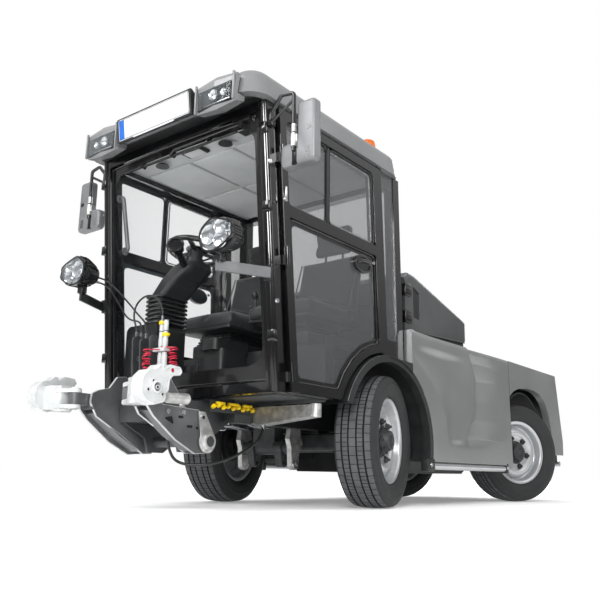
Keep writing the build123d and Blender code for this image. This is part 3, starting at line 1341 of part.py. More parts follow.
def about_pivot(points):
    """Outline points given from the arm's pivot, forward and up."""
    return [(PIVOT_Y + y, PIVOT_Z + z) for y, z in points]


OUTER_CHEEK = about_pivot([
    (-346, 200), (-352, 138), (-310, 92), (-180, -1), (-64, -56), (14, -50), (50, -10),
    (30, 60), (-52, 137), (-270, 146), (-296, 205),
])
INNER_CHEEK = about_pivot([
    (-358, 164), (-353, 207), (-319, 223), (-260, 238), (-219, 293), (-170, 300),
    (-140, 256), (-88, 200), (-40, 130), (34, 50), (46, -14), (10, -50), (-42, -53),
    (-188, 35), (-320, 104),
])
BOTTOM_WEB = about_pivot([
    (-318, 118), (-182, 22), (-60, -42), (-56, -30), (-176, 34), (-312, 132),
])
FRONT_WEB = about_pivot([(-348, 134), (-336, 134), (-336, 204), (-348, 204)])


def build_arm(side):
    """Two shaped cheek plates, a boss round the pivot pin, webs between them and the lug."""
    with BuildPart() as arm:
        for x, outline, radius in ((CHEEK_IN, INNER_CHEEK, 12), (CHEEK_OUT, OUTER_CHEEK, 14)):
            with BuildSketch(Plane.YZ.offset(x)):
                with BuildLine():
                    Polyline(*outline, close=True)
                make_face()
                fillet(vertices(), radius)
                with Locations((PIVOT_Y, PIVOT_Z)):
                    Circle(PIVOT_PIN_R + RUN, mode=Mode.SUBTRACT)
            extrude(amount=CHEEK_T)
        with BuildSketch(Plane.YZ.offset(CHEEK_IN)):
            with Locations((PIVOT_Y, PIVOT_Z)):
                Circle(BOSS_R - 8)
                Circle(PIVOT_PIN_R + RUN, mode=Mode.SUBTRACT)
        extrude(amount=2 * ARM_HALF_W)
        for outline in (BOTTOM_WEB, FRONT_WEB):
            with BuildSketch(Plane.YZ.offset(CHEEK_IN + 2)):
                with BuildLine():
                    Polyline(*outline, close=True)
                make_face()
            extrude(amount=2 * ARM_HALF_W - 4)
        # the pear-shaped lug plate with the silver boss outside the outer cheek
        with BuildSketch(Plane.YZ.offset(CHEEK_OUT + CHEEK_T - 1)):
            with Locations((PIVOT_Y, PIVOT_Z)):
                Circle(BOSS_R)
            with BuildLine():
                Polyline(
                    (PIVOT_Y - BOSS_R + 6, PIVOT_Z + 20), (PIVOT_Y - 62, PIVOT_Z + 132),
                    (PIVOT_Y - 22, PIVOT_Z + 132), (PIVOT_Y + BOSS_R - 8, PIVOT_Z + 22),
                    close=True,
                )
            make_face()
            with Locations((PIVOT_Y, PIVOT_Z)):
                Circle(PIVOT_PIN_R + RUN, mode=Mode.SUBTRACT)
        extrude(amount=LUG_PLATE_T + 1)
        with BuildSketch(Plane((ARM_X, SWING_Y, TIP_Z - LUG_HALF_H))):
            Circle(LUG_R)
            with Locations((0, (TIP_FRONT - SWING_Y + 14) / 2)):
                Rectangle(2 * LUG_R, TIP_FRONT - SWING_Y + 14)
        extrude(amount=2 * LUG_HALF_H)
        with BuildSketch(Plane((ARM_X, SWING_Y, TIP_Z - LUG_HALF_H - 22))):
            Circle(SWING_PIN_R)
        extrude(amount=2 * LUG_HALF_H + 44)
    return arm.part if side > 0 else arm.part.mirror(Plane.YZ)


FORK_T = 16
STRUT_Z0 = HEAD_Z - 62
STRUT_Z1 = HEAD_Z + 44
HOOK_LINE = [  # y, z round the catch hook, from its front lobe over the top and back under
    (-81, 0), (-74, 40), (-46, 66), (-10, 72), (12, 92), (27, 93), (33, 76), (66, 98),
    (118, 94), (132, 74), (120, 58), (84, 54), (66, 34), (62, -8), (43, -57), (-12, -72),
    (-54, -58), (-77, -28),
]


def build_head(side):
    """A cast coupler: a forked lug on the swing pin, a strut outboard and a catch hook."""
    with BuildPart() as head:
        for z in (TIP_Z - LUG_HALF_H - 1 - FORK_T, TIP_Z + LUG_HALF_H + 1):
            with BuildSketch(Plane.XY.offset(z)):
                with Locations((ARM_X, SWING_Y)):
                    Circle(LUG_R)
                with BuildLine():
                    Polyline(
                        (ARM_X, SWING_Y + LUG_R), (ARM_X, SWING_Y - LUG_R),
                        (ARM_X + 66, SWING_Y - 58), (ARM_X + 76, SWING_Y + 18), close=True,
                    )
                make_face()
                with Locations((ARM_X, SWING_Y)):
                    Circle(SWING_PIN_R + RUN, mode=Mode.SUBTRACT)
            extrude(amount=FORK_T)
        with BuildSketch(Plane.XY.offset(STRUT_Z0)):
            with BuildLine():
                Polyline(
                    (ARM_X + 44, SWING_Y - 46), (ARM_X + 44, SWING_Y + 14),
                    (HEAD_X - 20, SWING_Y + 22), (HEAD_X - 20, HEAD_Y - 40),
                    (ARM_X + 96, SWING_Y - 66), close=True,
                )
            make_face()
            fillet(vertices(), 8)
        extrude(amount=STRUT_Z1 - STRUT_Z0)
        with BuildSketch(Plane.YZ.offset(HEAD_X - HEAD_HALF_T)):
            with BuildLine():
                Polyline(*[(HEAD_Y + y, HEAD_Z + z) for y, z in HOOK_LINE], close=True)
            make_face()
            fillet(vertices(), 6)
        extrude(amount=2 * HEAD_HALF_T)
        with BuildSketch(Plane.YZ.offset(HEAD_X - HEAD_HALF_T - 60)):
            with Locations((HEAD_Y, HEAD_Z)):
                Circle(HEAD_BORE_R)
        extrude(amount=2 * HEAD_HALF_T + 61, mode=Mode.SUBTRACT)
    return head.part if side > 0 else head.part.mirror(Plane.YZ)


for name, side in (("left", 1), ("right", -1)):
    save(build_arm(side), f"lift_arm_{name}")
    save(build_head(side), f"coupler_head_{name}")

# ---------------------------------------------------------------- hose couplers and hoses
COUPLER_TOP = 845
COUPLER_R = 11
COUPLER_XS = (84, 112)
TOWER_SIDE = TOWER_PLATES[-1][0] + TOWER_T + SEAT
with BuildPart() as couplers:
    for x in COUPLER_XS:
        with BuildSketch(Plane((x, TOWER_TOP_Y, 590))):
            Circle(COUPLER_R)
        extrude(amount=COUPLER_TOP - 590)
        for z, radius, high in ((612, 13, 70), (724, 12.5, 34)):
            with BuildSketch(Plane((x, TOWER_TOP_Y, z))):
                Circle(radius)
            extrude(amount=high)
    with BuildSketch(Plane((0, TOWER_TOP_Y, 700))):
        with Locations(((TOWER_SIDE + COUPLER_XS[-1] + 14) / 2, 0)):
            Rectangle(COUPLER_XS[-1] + 14 - TOWER_SIDE, 34)
    extrude(amount=16)
save(couplers.part, "hose_couplers")

LAMP_HOSE_D = 9
UNDER_HOSE_D = 13
HOSES = [  # name, diameter, route from end to end
    ("lamp_hose_upper", LAMP_HOSE_D, [
        (-486, LAMP_C[1] + LAMP_D + SEAT, 1152), (-486, -1640, 1152), (-462, -1608, 1128),
        (-412, -1598, 1082), (-345, -1602, 1030), (-275, -1614, 980), (-205, -1636, 934),
        (-138, -1664, 898), (-74, -1694, 868), (-25, TOWER_TOP_Y, 826),
        (-25, TOWER_TOP_Y, TOWER_PLATES[1][1] + SEAT),
    ]),
    ("lamp_hose_lower", LAMP_HOSE_D, [
        (-478, LAMP_C[1] + LAMP_D + SEAT, 1124), (-478, -1645, 1124), (-462, -1612, 1096),
        (-422, -1602, 1042), (-372, -1602, 984), (-315, -1612, 932), (-248, -1632, 902),
        (-178, -1658, 886), (-118, -1684, 868), (-79, TOWER_TOP_Y + 14, 838),
        (-79, TOWER_TOP_Y + 14, TOWER_PLATES[0][1] + SEAT),
    ]),
    ("tower_hose_loop", LAMP_HOSE_D, [
        (-79, TOWER_TOP_Y - 14, TOWER_PLATES[0][1] + SEAT), (-79, TOWER_TOP_Y - 14, 824),
        (-108, -1728, 872), (-113, -1724, 926), (-82, -1720, 968), (-26, -1718, 984),
        (30, -1716, 966), (68, -1716, 930), (COUPLER_XS[0], TOWER_TOP_Y, 886),
        (COUPLER_XS[0], TOWER_TOP_Y, COUPLER_TOP + SEAT),
    ]),
    ("under_arm_hose", UNDER_HOSE_D, [
        (126, -1690, NOSE_BOX_Z0 - SEAT), (126, -1690, 332), (125, -1674, 274),
        (128, -1646, 222), (154, -1610, 200), (202, -1568, 197), (248, -1512, 204),
        (270, -1436, 226), (275, -1362, 255), (274, -1300, 282), (270, -1244, 312),
        (264, -1206, 346), (263, -1190, RAIL_Z0 - 6.5),
    ]),
]
for name, diameter, route in HOSES:
    points = [Vector(*point) for point in route]
    radii = []
    for before, corner, after in zip(points, points[1:], points[2:]):
        half_turn = radians((corner - before).get_angle(after - corner)) / 2
        radii.append(0.45 * min((corner - before).length, (after - corner).length) / tan(half_turn))
    with BuildPart() as hose:
        with BuildLine() as line:
            FilletPolyline(*points, radius=radii)
        with BuildSketch(Plane(line.line @ 0, z_dir=line.line % 0)):
            Circle(diameter / 2)
        sweep()
    length = sum(edge.length for edge in line.edges())
    print(name, "length", round(length), "least radius", round(min(radii)),
          "volume share", round(hose.part.volume / (pi * diameter**2 / 4 * length), 4))
    save(hose.part, name)
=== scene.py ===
"""Dresses a compact sweeper carrier with finishes, tread, lamps, hoses, seats and a studio."""

import math

import bmesh
import bpy
from mathutils import Matrix, Vector


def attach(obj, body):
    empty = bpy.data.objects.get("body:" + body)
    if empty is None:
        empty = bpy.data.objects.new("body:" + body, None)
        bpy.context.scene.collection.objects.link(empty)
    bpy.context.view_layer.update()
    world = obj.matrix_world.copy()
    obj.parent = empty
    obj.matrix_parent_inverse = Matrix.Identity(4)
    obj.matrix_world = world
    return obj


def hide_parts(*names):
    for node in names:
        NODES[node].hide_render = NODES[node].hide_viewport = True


bl_info = {
    "name": "Sweeper Carrier Dresser",
    "version": (1, 0, 0),
    "blender": (4, 5, 0),
    "location": "3D View > Sidebar > Carrier",
    "description": "Finishes and fine pieces for a compact municipal sweeper carrier",
    "category": "Object",
}

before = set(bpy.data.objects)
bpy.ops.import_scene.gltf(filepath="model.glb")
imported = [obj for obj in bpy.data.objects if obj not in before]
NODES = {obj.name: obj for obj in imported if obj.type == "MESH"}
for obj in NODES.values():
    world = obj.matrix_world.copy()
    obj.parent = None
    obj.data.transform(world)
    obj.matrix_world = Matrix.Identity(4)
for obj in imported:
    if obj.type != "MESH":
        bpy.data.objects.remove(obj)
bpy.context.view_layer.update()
MM = 0.001
WELD = 0.00002  # metres: points nearer than this become one
X, Y, Z = Vector((1, 0, 0)), Vector((0, 1, 0)), Vector((0, 0, 1))


# ---------------------------------------------------------------- colour and node helpers
def linear(hex_colour):
    """An sRGB hex value as linear RGBA."""
    values = [int(hex_colour[i : i + 2], 16) / 255 for i in (1, 3, 5)]
    return [v / 12.92 if v <= 0.04045 else ((v + 0.055) / 1.055) ** 2.4 for v in values] + [1.0]


def add_node(tree, kind, links=None, **settings):
    """Adds a node, sets its properties, and fills its sockets with values or links."""
    made = tree.nodes.new(kind)
    for name, value in settings.items():
        setattr(made, name, value)
    for socket, value in (links or {}).items():
        if isinstance(value, bpy.types.NodeSocket):
            tree.links.new(value, made.inputs[socket])
        else:
            made.inputs[socket].default_value = value
    return made


def new_material(name, **sockets):
    """A material of one shader whose sockets are given by name; returns it, tree and shader."""
    material = bpy.data.materials.new(name)
    material.use_nodes = True
    tree = material.node_tree
    tree.nodes.clear()
    shader = add_node(tree, "ShaderNodeBsdfPrincipled")
    for socket, value in sockets.items():
        shader.inputs[socket.replace("_", " ").title().replace("Ior", "IOR")].default_value = value
    add_node(tree, "ShaderNodeOutputMaterial", {"Surface": shader.outputs["BSDF"]})
    return material, tree, shader


def solid_material(
    name, colour, dark, rough, metallic, patch, grain, bump, cells=False, **sockets
):
    """One finish: two close tones in soft patches, uneven gloss, and a fine grain as relief.

    patch and grain are real sizes in millimetres; rough is the lowest and highest roughness.
    """
    material, tree, shader = new_material(name, metallic=metallic, **sockets)
    place = add_node(tree, "ShaderNodeTexCoord").outputs["Object"]
    patches = add_node(
        tree, "ShaderNodeTexNoise", {"Vector": place, "Scale": 1 / (patch * MM), "Detail": 4.0}
    ).outputs["Fac"]
    tone = add_node(tree, "ShaderNodeValToRGB", {"Fac": patches})
    for stop, position, hex_colour in zip(tone.color_ramp.elements, (0.35, 0.68), (dark, colour)):
        stop.position = position
        stop.color = linear(hex_colour)
    gloss = add_node(
        tree, "ShaderNodeMapRange",
        {"Value": patches, "From Min": 0.3, "From Max": 0.7, "To Min": rough[0],
         "To Max": rough[1]},
    )
    scale = 1 / (grain * MM)
    if cells:
        relief = add_node(tree, "ShaderNodeTexVoronoi", {"Vector": place, "Scale": scale})
    else:
        relief = add_node(
            tree, "ShaderNodeTexNoise", {"Vector": place, "Scale": scale, "Detail": 3.0}
        )
    relief = add_node(
        tree, "ShaderNodeBump",
        {"Height": relief.outputs["Distance" if cells else "Fac"], "Strength": bump,
         "Distance": grain * MM * 0.5},
    )
    for socket, value in (("Base Color", tone.outputs["Color"]),
                          ("Roughness", gloss.outputs["Result"]),
                          ("Normal", relief.outputs["Normal"])):
        tree.links.new(value, shader.inputs[socket])
    return material


def glass_material(name, tint, through, edge, rough=0.02):
    """A thin pane: through is how much of its tint shows face on, edge how much at a glance."""
    material, tree, shader = new_material(
        name, base_color=linear(tint), roughness=rough, specular_ior_level=1.0, coat_weight=1.0,
        coat_roughness=rough,
    )
    glance = add_node(tree, "ShaderNodeLayerWeight", {"Blend": 0.5})
    alpha = add_node(
        tree, "ShaderNodeMapRange",
        {"Value": glance.outputs["Facing"], "From Min": 0.35, "To Min": through, "To Max": edge},
    )
    tree.links.new(alpha.outputs["Result"], shader.inputs["Alpha"])
    return material


# ---------------------------------------------------------------- finishes
# Each row: material name, light and dark tone, lowest and highest roughness, metallic share,
# size of the tone patches and of the grain in millimetres, strength of the grain, other sockets.
# A tone without # is a setting of the panel.
SOLIDS = {
    # Tyre rubber: cured in a mould, so a dull blue-black with a fine bloom and no gloss.
    "tyre_rubber": ("tyre_rubber", "#2A2B2C", "#1F2021", (0.6, 0.78), 0, 90, 3, 0.12),
    # The ribs have run on dusty ground: greyer than the walls, scuffed along the rolling way.
    "tread_rubber": ("worn_tread_rubber", "#5A5C5E", "#484A4C", (0.66, 0.82), 0, 50, 2.5, 0.3),
    # Painted shade: the same rubber made near black down in the grooves and sipes, where hardly any
    # light comes back out; the same near black stands for the shade in holes and slots of the arms
    # and heads.
    "groove_rubber": ("groove_rubber", "#121213", "#0C0C0D", (0.8, 0.9), 0, 50, 3, 0.1),
    # Silver wheel enamel over pressed steel: bright, with soft uneven reflections.
    "wheel_enamel": (
        "silver_wheel_enamel", "#C6C8CA", "#BDBFC1", (0.28, 0.34), 0.6, 160, 2, 0.02),
    # Black cast iron under chassis paint: sandy skin that catches broken highlights.
    "cast_dark": ("painted_cast_iron", "#434546", "#2B2D2E", (0.38, 0.56), 0.3, 60, 4, 0.35),
    # Grey chassis enamel on welded plate, dulled by road film.
    "chassis": ("chassis_enamel", "#515354", "#3C3E3F", (0.36, 0.5), 0.35, 160, 3, 0.12),
    # Two-pack black cab paint: deep and wet, so it holds hard bright streaks.
    "cab_black": ("black_cab_enamel", "cab_black", "#09090A", (0.12, 0.17), 0, 300, 9, 0.01,
                  {"coat_weight": 0.7, "coat_roughness": 0.04}),
    # Glass-fibre roof gelcoat: satin mid grey with a faint sprayed texture.
    "roof": ("grey_gelcoat", "roof_grey", "#767778", (0.3, 0.38), 0.15, 500, 2.2, 0.08),
    # Silver-grey metallic paint over moulded panels: fine flake, cloudy only from afar.
    "panel": ("grey_metallic_paint", "panel_grey", "#8E9090", (0.3, 0.38), 0.55, 520, 1.8, 0.12,
              {"coat_weight": 0.25, "coat_roughness": 0.2}),
    # Dark grey moulded hood with the same flake.
    "hood": ("dark_grey_moulding", "hood_grey", "#535455", (0.34, 0.42), 0.4, 400, 1.8, 0.1),
    # Moulded polypropylene of arches and consoles: its fine grain scatters light to a dull black.
    "black_plastic": (
        "grained_black_plastic", "#232425", "#1A1B1C", (0.4, 0.52), 0, 80, 1.6, 0.18),
    # Smooth black plastic: arms, seals and brackets with a wet line of light.
    "black_gloss": ("smooth_black_plastic", "#161617", "#101011", (0.16, 0.24), 0, 60, 4, 0.02,
                    {"coat_weight": 0.4, "coat_roughness": 0.08}),
    # Headlining felt glued to board: pale and quite matt, it brightens the cab from above.
    "light_trim": ("pale_headlining", "#D2D5D5", "#C4C7C7", (0.6, 0.72), 0, 160, 2, 0.1),
    # Pressed rubber mat, greyed by boots, with only a broad faint sheen.
    "floor_mat": ("grey_rubber_mat", "#8D9091", "#7B7E80", (0.5, 0.62), 0, 90, 3, 0.2),
    # Mid-grey moulded shells with a little flake: softer and darker than the body paint.
    "mirror_shell": ("grey_mirror_shell", "#7A7C7E", "#6C6E70", (0.33, 0.42), 0.2, 90, 1.4, 0.1),
    # Sand-cast aluminium: bright but open-grained, darker where the sand was coarse.
    "cast_silver": ("sand_cast_aluminium", "#D2D2D0", "#A9A9A7", (0.3, 0.48), 0.8, 30, 2.6, 0.3),
    # White powder coat over the castings: soft orange-peel that rounds each edge's light.
    "cast_white": ("white_coated_casting", "#CFD1D1", "#B9BCBC", (0.26, 0.38), 0, 60, 3.4, 0.16,
                   {"coat_weight": 0.3, "coat_roughness": 0.2}),
    # Grey enamel rolled thinly on flame-cut plate, so the steel's low gloss comes through.
    "arm_grey": ("grey_enamel_plate", "#717374", "#5F6162", (0.32, 0.44), 0.5, 120, 2.4, 0.14),
    # Painted highlight: pale strips along the edges of the arm plates and the wheel arches, where
    # the light catches them.
    "cut_edge": ("bright_cut_edge", "#D0D2D2", "#B4B6B7", (0.28, 0.42), 0.55, 20, 1.5, 0.15),
    # Drawn aluminium tube: even and bright, with one long clean reflection.
    "step_alloy": ("drawn_alloy_tube", "#C9CBCD", "#BDBFC1", (0.3, 0.34), 0.8, 300, 1.4, 0),
    # Reflective sheet on the plate: flat, cool white with little gloss.
    "plate_white": (
        "white_reflective_sheet", "#D6D8D8", "#CED0D0", (0.35, 0.42), 0, 90, 1.2, 0.05),
    # The same sheet printed blue.
    "plate_blue": ("blue_sheet_band", "#1C62B8", "#1957A4", (0.35, 0.42), 0, 60, 1.2, 0.05),
    # Seat vinyl: small pebble grain with a dull sheen on the crowned faces.
    "seat_cloth": ("black_seat_vinyl", "#2C2E30", "#212324", (0.46, 0.6), 0, 70, 2.6, 0.3,
                   {"cells": True, "sheen_weight": 0.25, "sheen_roughness": 0.5}),
    # Extruded piping sewn into the seams: a plain grey line that draws each cushion.
    "seat_piping": ("grey_seat_piping", "#6B6E70", "#5C5F61", (0.5, 0.6), 0, 40, 1.5, 0.15),
    # Braided hose rubber: a tight wrap pattern under a waxy sheen.
    "hose_black": ("black_hose_rubber", "#1C1D1E", "#141415", (0.28, 0.38), 0, 40, 1.6, 0.2,
                   {"cells": True}),
    # Wound polyethylene guard: a clear signal red with small sharp lights on each turn.
    "hose_red": ("red_guard_plastic", "#D01E40", "#A8142F", (0.22, 0.32), 0, 30, 2, 0.05),
    # Soft vinyl caps dipped in yellow: full colour and a rounded, slightly waxy light.
    "cap_yellow": ("yellow_coupling_cap", "#F0CC12", "#DDB80C", (0.3, 0.4), 0, 30, 2, 0.06),
    # Zinc-plated steel: cool and bright, a little cloudy from the bath.
    "bright_metal": ("zinc_plated_steel", "#D6D7D8", "#B4B6B8", (0.18, 0.3), 0.95, 25, 1.5, 0.08),
    # Aluminium vapour on lacquer: throws the light back almost whole.
    "reflector": ("aluminised_reflector", "#E2E4E6", "#CDD0D3", (0.14, 0.22), 0.95, 30, 4, 0.03),
    # Silver behind flat glass: a sharp, slightly cool image.
    "mirror_glass": ("silvered_mirror", "#C3C8CC", "#B6BBBF", (0.02, 0.04), 1, 90, 8, 0.01),
}
# Float glass and clear polycarbonate: see-through face on, whiter and brighter at a glance.
# Each row: material name, tint, share of the tint face on and at a glance, roughness.
GLASSES = {
    "cab_glass": ("clear_cab_glass", "#2B3032", "screen_tint", 0.3),
    "tinted_glass": ("grey_tinted_glass", "#56595C", "door_tint", 0.7, 0.03),
    "pale_glass": ("pale_door_glass", "#93A3AC", 0.1, 0.4),
    "lamp_lens": ("clear_lamp_lens", "#8F969A", 0.06, 0.6),
}
# Dyed acrylic, injection moulded: the colour glows from inside under a hard gloss.
ACRYLICS = {
    "beacon": ("orange_beacon_dome", "#F47A0C", 0.12, 0.35),
    "tail_red": ("red_tail_lens", "#B0121C", 0.1, 0.2),
}
FINISHES = {}
NODE_FINISH = {
    "cast_dark": "front_axle rear_axle engine_block cross_tube front_left_knuckle "
                 "front_right_knuckle rear_left_knuckle rear_right_knuckle",
    "chassis": "chassis_frame cab_floor deck hose_tower",
    "cab_black": "cab_frame door_left_frame door_right_frame",
    "black_plastic": "tank_box front_arches rear_arches hood_base steering_column "
                     "steering_wheel console head_lamps plate_board",
    "roof": "roof roof_lamps",
    "panel": "side_panels rear_fenders rear_panel",
    "hood": "hood",
    "light_trim": "headliner",
    "cast_silver": "linkage_hangers outriggers",
    "cast_white": "coupler_head_left coupler_head_right hose_couplers",
    "arm_grey": "lift_arm_left lift_arm_right",
    "step_alloy": "side_tubes tail_bar",
    "beacon": "beacon",
    "cab_glass": "windscreen rear_window",
    "tinted_glass": "quarter_windows door_left_glass",
    "pale_glass": "door_right_glass",
    "seat_cloth": "seats",
}


class CARRIER_OT_finishes(bpy.types.Operator):
    """Makes every finish and lays it on the machine's structural pieces"""

    bl_idname = "carrier.finishes"
    bl_label = "Finishes"

    def execute(self, context):
        paint = context.scene.carrier_paint
        for key, (name, colour, *values) in SOLIDS.items():
            more = values.pop() if isinstance(values[-1], dict) else {}
            FINISHES[key] = solid_material(name, getattr(paint, colour, colour), *values, **more)
        for key, (name, tint, through, *values) in GLASSES.items():
            through = getattr(paint, through) if isinstance(through, str) else through
            FINISHES[key] = glass_material(name, tint, through, *values)
        for key, (name, colour, rough, clear) in ACRYLICS.items():
            FINISHES[key] = new_material(
                name, base_color=linear(colour), roughness=rough, transmission_weight=clear,
                ior=1.49, coat_weight=0.5,
            )[0]
        for finish, names in NODE_FINISH.items():
            for name in names.split():
                slots = NODES[name].data.materials
                slots.clear()
                slots.append(FINISHES[finish])
        return {"FINISHED"}


# ---------------------------------------------------------------- shapes, all in millimetres
def finish_piece(name, mesh, body, finish, slot=None, smooth=40.0):
    """Turns a bmesh into a piece of the machine on its body, with its finish."""
    data = bpy.data.meshes.new(name)
    mesh.to_mesh(data)
    mesh.free()
    for polygon in data.polygons:
        polygon.use_smooth = True
    if smooth < 180:
        data.set_sharp_from_angle(angle=math.radians(smooth))
    piece = bpy.data.objects.new(name, data)
    bpy.context.scene.collection.objects.link(piece)
    for entry in finish.split():
        data.materials.append(FINISHES[entry])
    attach(piece, body)
    return piece


def build(name, finish, *shapes, body="machine", mirror=False, **more):
    """A piece drawn from rows of a shape function and its values, on both sides if asked."""
    mesh = bmesh.new()
    for draw, *values in shapes:
        draw(mesh, *values)
    if mirror:
        out = bmesh.ops.duplicate(mesh, geom=mesh.verts[:] + mesh.edges[:] + mesh.faces[:])["geom"]
        reflect(mesh, [g for g in out if isinstance(g, bmesh.types.BMVert)],
                [g for g in out if isinstance(g, bmesh.types.BMFace)])
    return finish_piece(name, mesh, body, finish, **more)


def twins(name, body, finish, *shapes):
    """A piece of its own on the left body and, reflected, on the right one."""
    build(f"left_{name}", finish, *shapes, body=f"left_{body}")
    build(f"right_{name}", finish, *shapes,
          (lambda mesh: reflect(mesh, mesh.verts, mesh.faces),), body=f"right_{body}")


def reflect(mesh, verts, faces):
    """Turns shapes over to the machine's other side, their faces still outwards."""
    bmesh.ops.scale(mesh, vec=(-1, 1, 1), verts=verts)
    bmesh.ops.reverse_faces(mesh, faces=faces)


def bevel_edges(mesh, edges, width, segments):
    """Rounds edges by a width; returns the operator's answer."""
    return bmesh.ops.bevel(
        mesh, geom=list(edges), offset=width * MM, offset_type="OFFSET", segments=segments,
        profile=0.5, affect="EDGES", material=-1,
    )


def box(mesh, low, high, bevel=0, segments=2):
    """A bevelled block between two corners."""
    low, high = Vector(low) * MM, Vector(high) * MM
    verts = bmesh.ops.create_cube(mesh, size=1.0)["verts"]
    bmesh.ops.scale(mesh, vec=high - low, verts=verts)
    bmesh.ops.translate(mesh, vec=(low + high) / 2, verts=verts)
    if bevel:
        bevel_edges(mesh, {e for v in verts for e in v.link_edges}, bevel, segments)


def rod(mesh, start, end, radius, end_radius=None, segments=24):
    """A round bar or cone between two points."""
    start, end = Vector(start) * MM, Vector(end) * MM
    axis = end - start
    bmesh.ops.create_cone(
        mesh, cap_ends=True, segments=segments, radius1=radius * MM,
        radius2=(end_radius or radius) * MM, depth=axis.length,
        matrix=Matrix.Translation((start + end) / 2)
        @ axis.to_track_quat("Z", "Y").to_matrix().to_4x4(),
    )


def nut(mesh, start, end, radius):
    """A six-sided bar between two points."""
    rod(mesh, start, end, radius, radius, 6)


def lathe(mesh, profile, centre, axis, steps=48):
    """Turns (along, radius) points round an axis; an outline that meets the axis stays open."""
    axis, centre = Vector(axis).normalized(), Vector(centre) * MM
    side = axis.orthogonal().normalized()
    verts = [mesh.verts.new(centre + (axis * u + side * r) * MM) for u, r in profile]
    after = verts[1:] + verts[:1] if min(r for _, r in profile) > 1 else verts[1:]
    edges = [mesh.edges.new(pair) for pair in zip(verts, after)]
    before = set(mesh.faces)
    bmesh.ops.spin(
        mesh, geom=verts + edges, cent=centre, axis=axis, dvec=(0, 0, 0), angle=math.tau,
        steps=steps, use_merge=True, use_duplicate=False,
    )
    made = {v for f in mesh.faces if f not in before for v in f.verts}
    bmesh.ops.remove_doubles(mesh, verts=list(made), dist=WELD)
    faces = [f for f in mesh.faces if f not in before]
    bmesh.ops.recalc_face_normals(mesh, faces=faces)
    return faces


def rounded(points, radius, steps=5, closed=True):
    """Points with each corner swept round; the radius is cut to what its two runs allow."""
    points = [Vector(p) for p in points]
    path = []
    for i, corner in enumerate(points):
        if not closed and i in (0, len(points) - 1):
            path.append(corner)
            continue
        a, b = points[i - 1] - corner, points[(i + 1) % len(points)] - corner
        reach = min(radius / max(math.tan(a.angle(b) / 2), 0.05), 0.48 * a.length, 0.48 * b.length)
        start, end = corner + a.normalized() * reach, corner + b.normalized() * reach
        for t in (k / steps for k in range(steps + 1)):
            path.append((1 - t) ** 2 * start + 2 * t * (1 - t) * corner + t * t * end)
    return path


def oval(centre, across, up, count=36, first=0.0):
    """Points round an ellipse given by its centre and its two half axes."""
    return [Vector(centre) + across * math.cos(t) + up * math.sin(t)
            for t in (first + math.tau * k / count for k in range(count))]


def at_x(x, points):
    """Points of the YZ plane moved to an x."""
    return [Vector((x, y, z)) for y, z in points]


def at_y(y, points):
    """Points of the XZ plane moved to a y."""
    return [Vector((x, y, z)) for x, z in points]


def inset(points, by):
    """A flat outline moved inwards by a distance."""
    points = [Vector(p) for p in points]
    after = points[1:] + points[:1]
    sign = 1 if sum(a.x * b.y - b.x * a.y for a, b in zip(points, after)) > 0 else -1
    out = []
    for last, here, ahead in zip(points[-1:] + points, points, after):
        a, b = (here - last).normalized(), (ahead - here).normalized()
        side = Vector((-a.y - b.y, a.x + b.x)) * sign
        out.append(tuple(here + side * (by / max(0.2, side.length_squared / 2))))
    return out


def thicken(mesh, faces, push):
    """Pushes open faces out to a closed body; returns its far points and all its faces."""
    out = bmesh.ops.extrude_face_region(mesh, geom=faces)["geom"]
    moved = [g for g in out if isinstance(g, bmesh.types.BMVert)]
    bmesh.ops.translate(mesh, vec=Vector(push) * MM, verts=moved)
    body = list({f for v in moved for f in v.link_faces} | set(faces))
    bmesh.ops.recalc_face_normals(mesh, faces=body)
    return moved, body


def slab(mesh, outline, push, bevel=0, index=0):
    """A plate: a flat outline pushed along a vector, its far edge eased."""
    face = mesh.faces.new([mesh.verts.new(Vector(p) * MM) for p in outline])
    moved, body = thicken(mesh, [face], push)
    if bevel:
        body += bevel_edges(
            mesh, [e for e in mesh.edges if all(v in moved for v in e.verts)], bevel, 3
        )["faces"]
    for each in body:
        if each.is_valid:
            each.material_index = index


def skin(mesh, first, *loops):
    """Draws a closed loop of points out to the next ones, each of as many points."""
    verts = [mesh.verts.new(Vector(p) * MM) for p in first]
    edges = [mesh.edges.new(pair) for pair in zip(verts, verts[1:] + verts[:1])]
    faces = set()
    for loop in loops:
        out = bmesh.ops.extrude_edge_only(mesh, edges=edges)["geom"]
        fresh = {g for g in out if isinstance(g, bmesh.types.BMVert)}
        edges = [g for g in out if isinstance(g, bmesh.types.BMEdge) and fresh.issuperset(g.verts)]
        verts = [next(iter(fresh & {e.other_vert(v) for e in v.link_edges})) for v in verts]
        for vert, place in zip(verts, loop):
            vert.co = Vector(place) * MM
            faces.update(vert.link_faces)
    bmesh.ops.recalc_face_normals(mesh, faces=list(faces))
    return list(faces)


def ring(mesh, outer, inner, push):
    """A flat ring between two loops, pushed to a thickness."""
    thicken(mesh, skin(mesh, outer, inner), push)


def band(mesh, outline, low, high, lift=0.4, lap=2):
    """A strip laid on the rim of a plate in the YZ plane, from x low to high."""
    after = outline[1:] + outline[:1]
    sign = 1 if sum(a.y * b.z - b.y * a.z for a, b in zip(outline, after)) > 0 else -1
    ways = [ahead - last for ahead, last in zip(after, outline[-1:] + outline)]
    out = [Vector((0, way.z, -way.y)).normalized() * sign for way in ways]
    skin(mesh, *(
        [Vector((x, p.y, p.z)) + way * rise for p, way in zip(outline, out)]
        for x, rise in ((low - lift, -lap), (low - lift, lift), (high + lift, lift),
                        (high + lift, -lap))
    ))


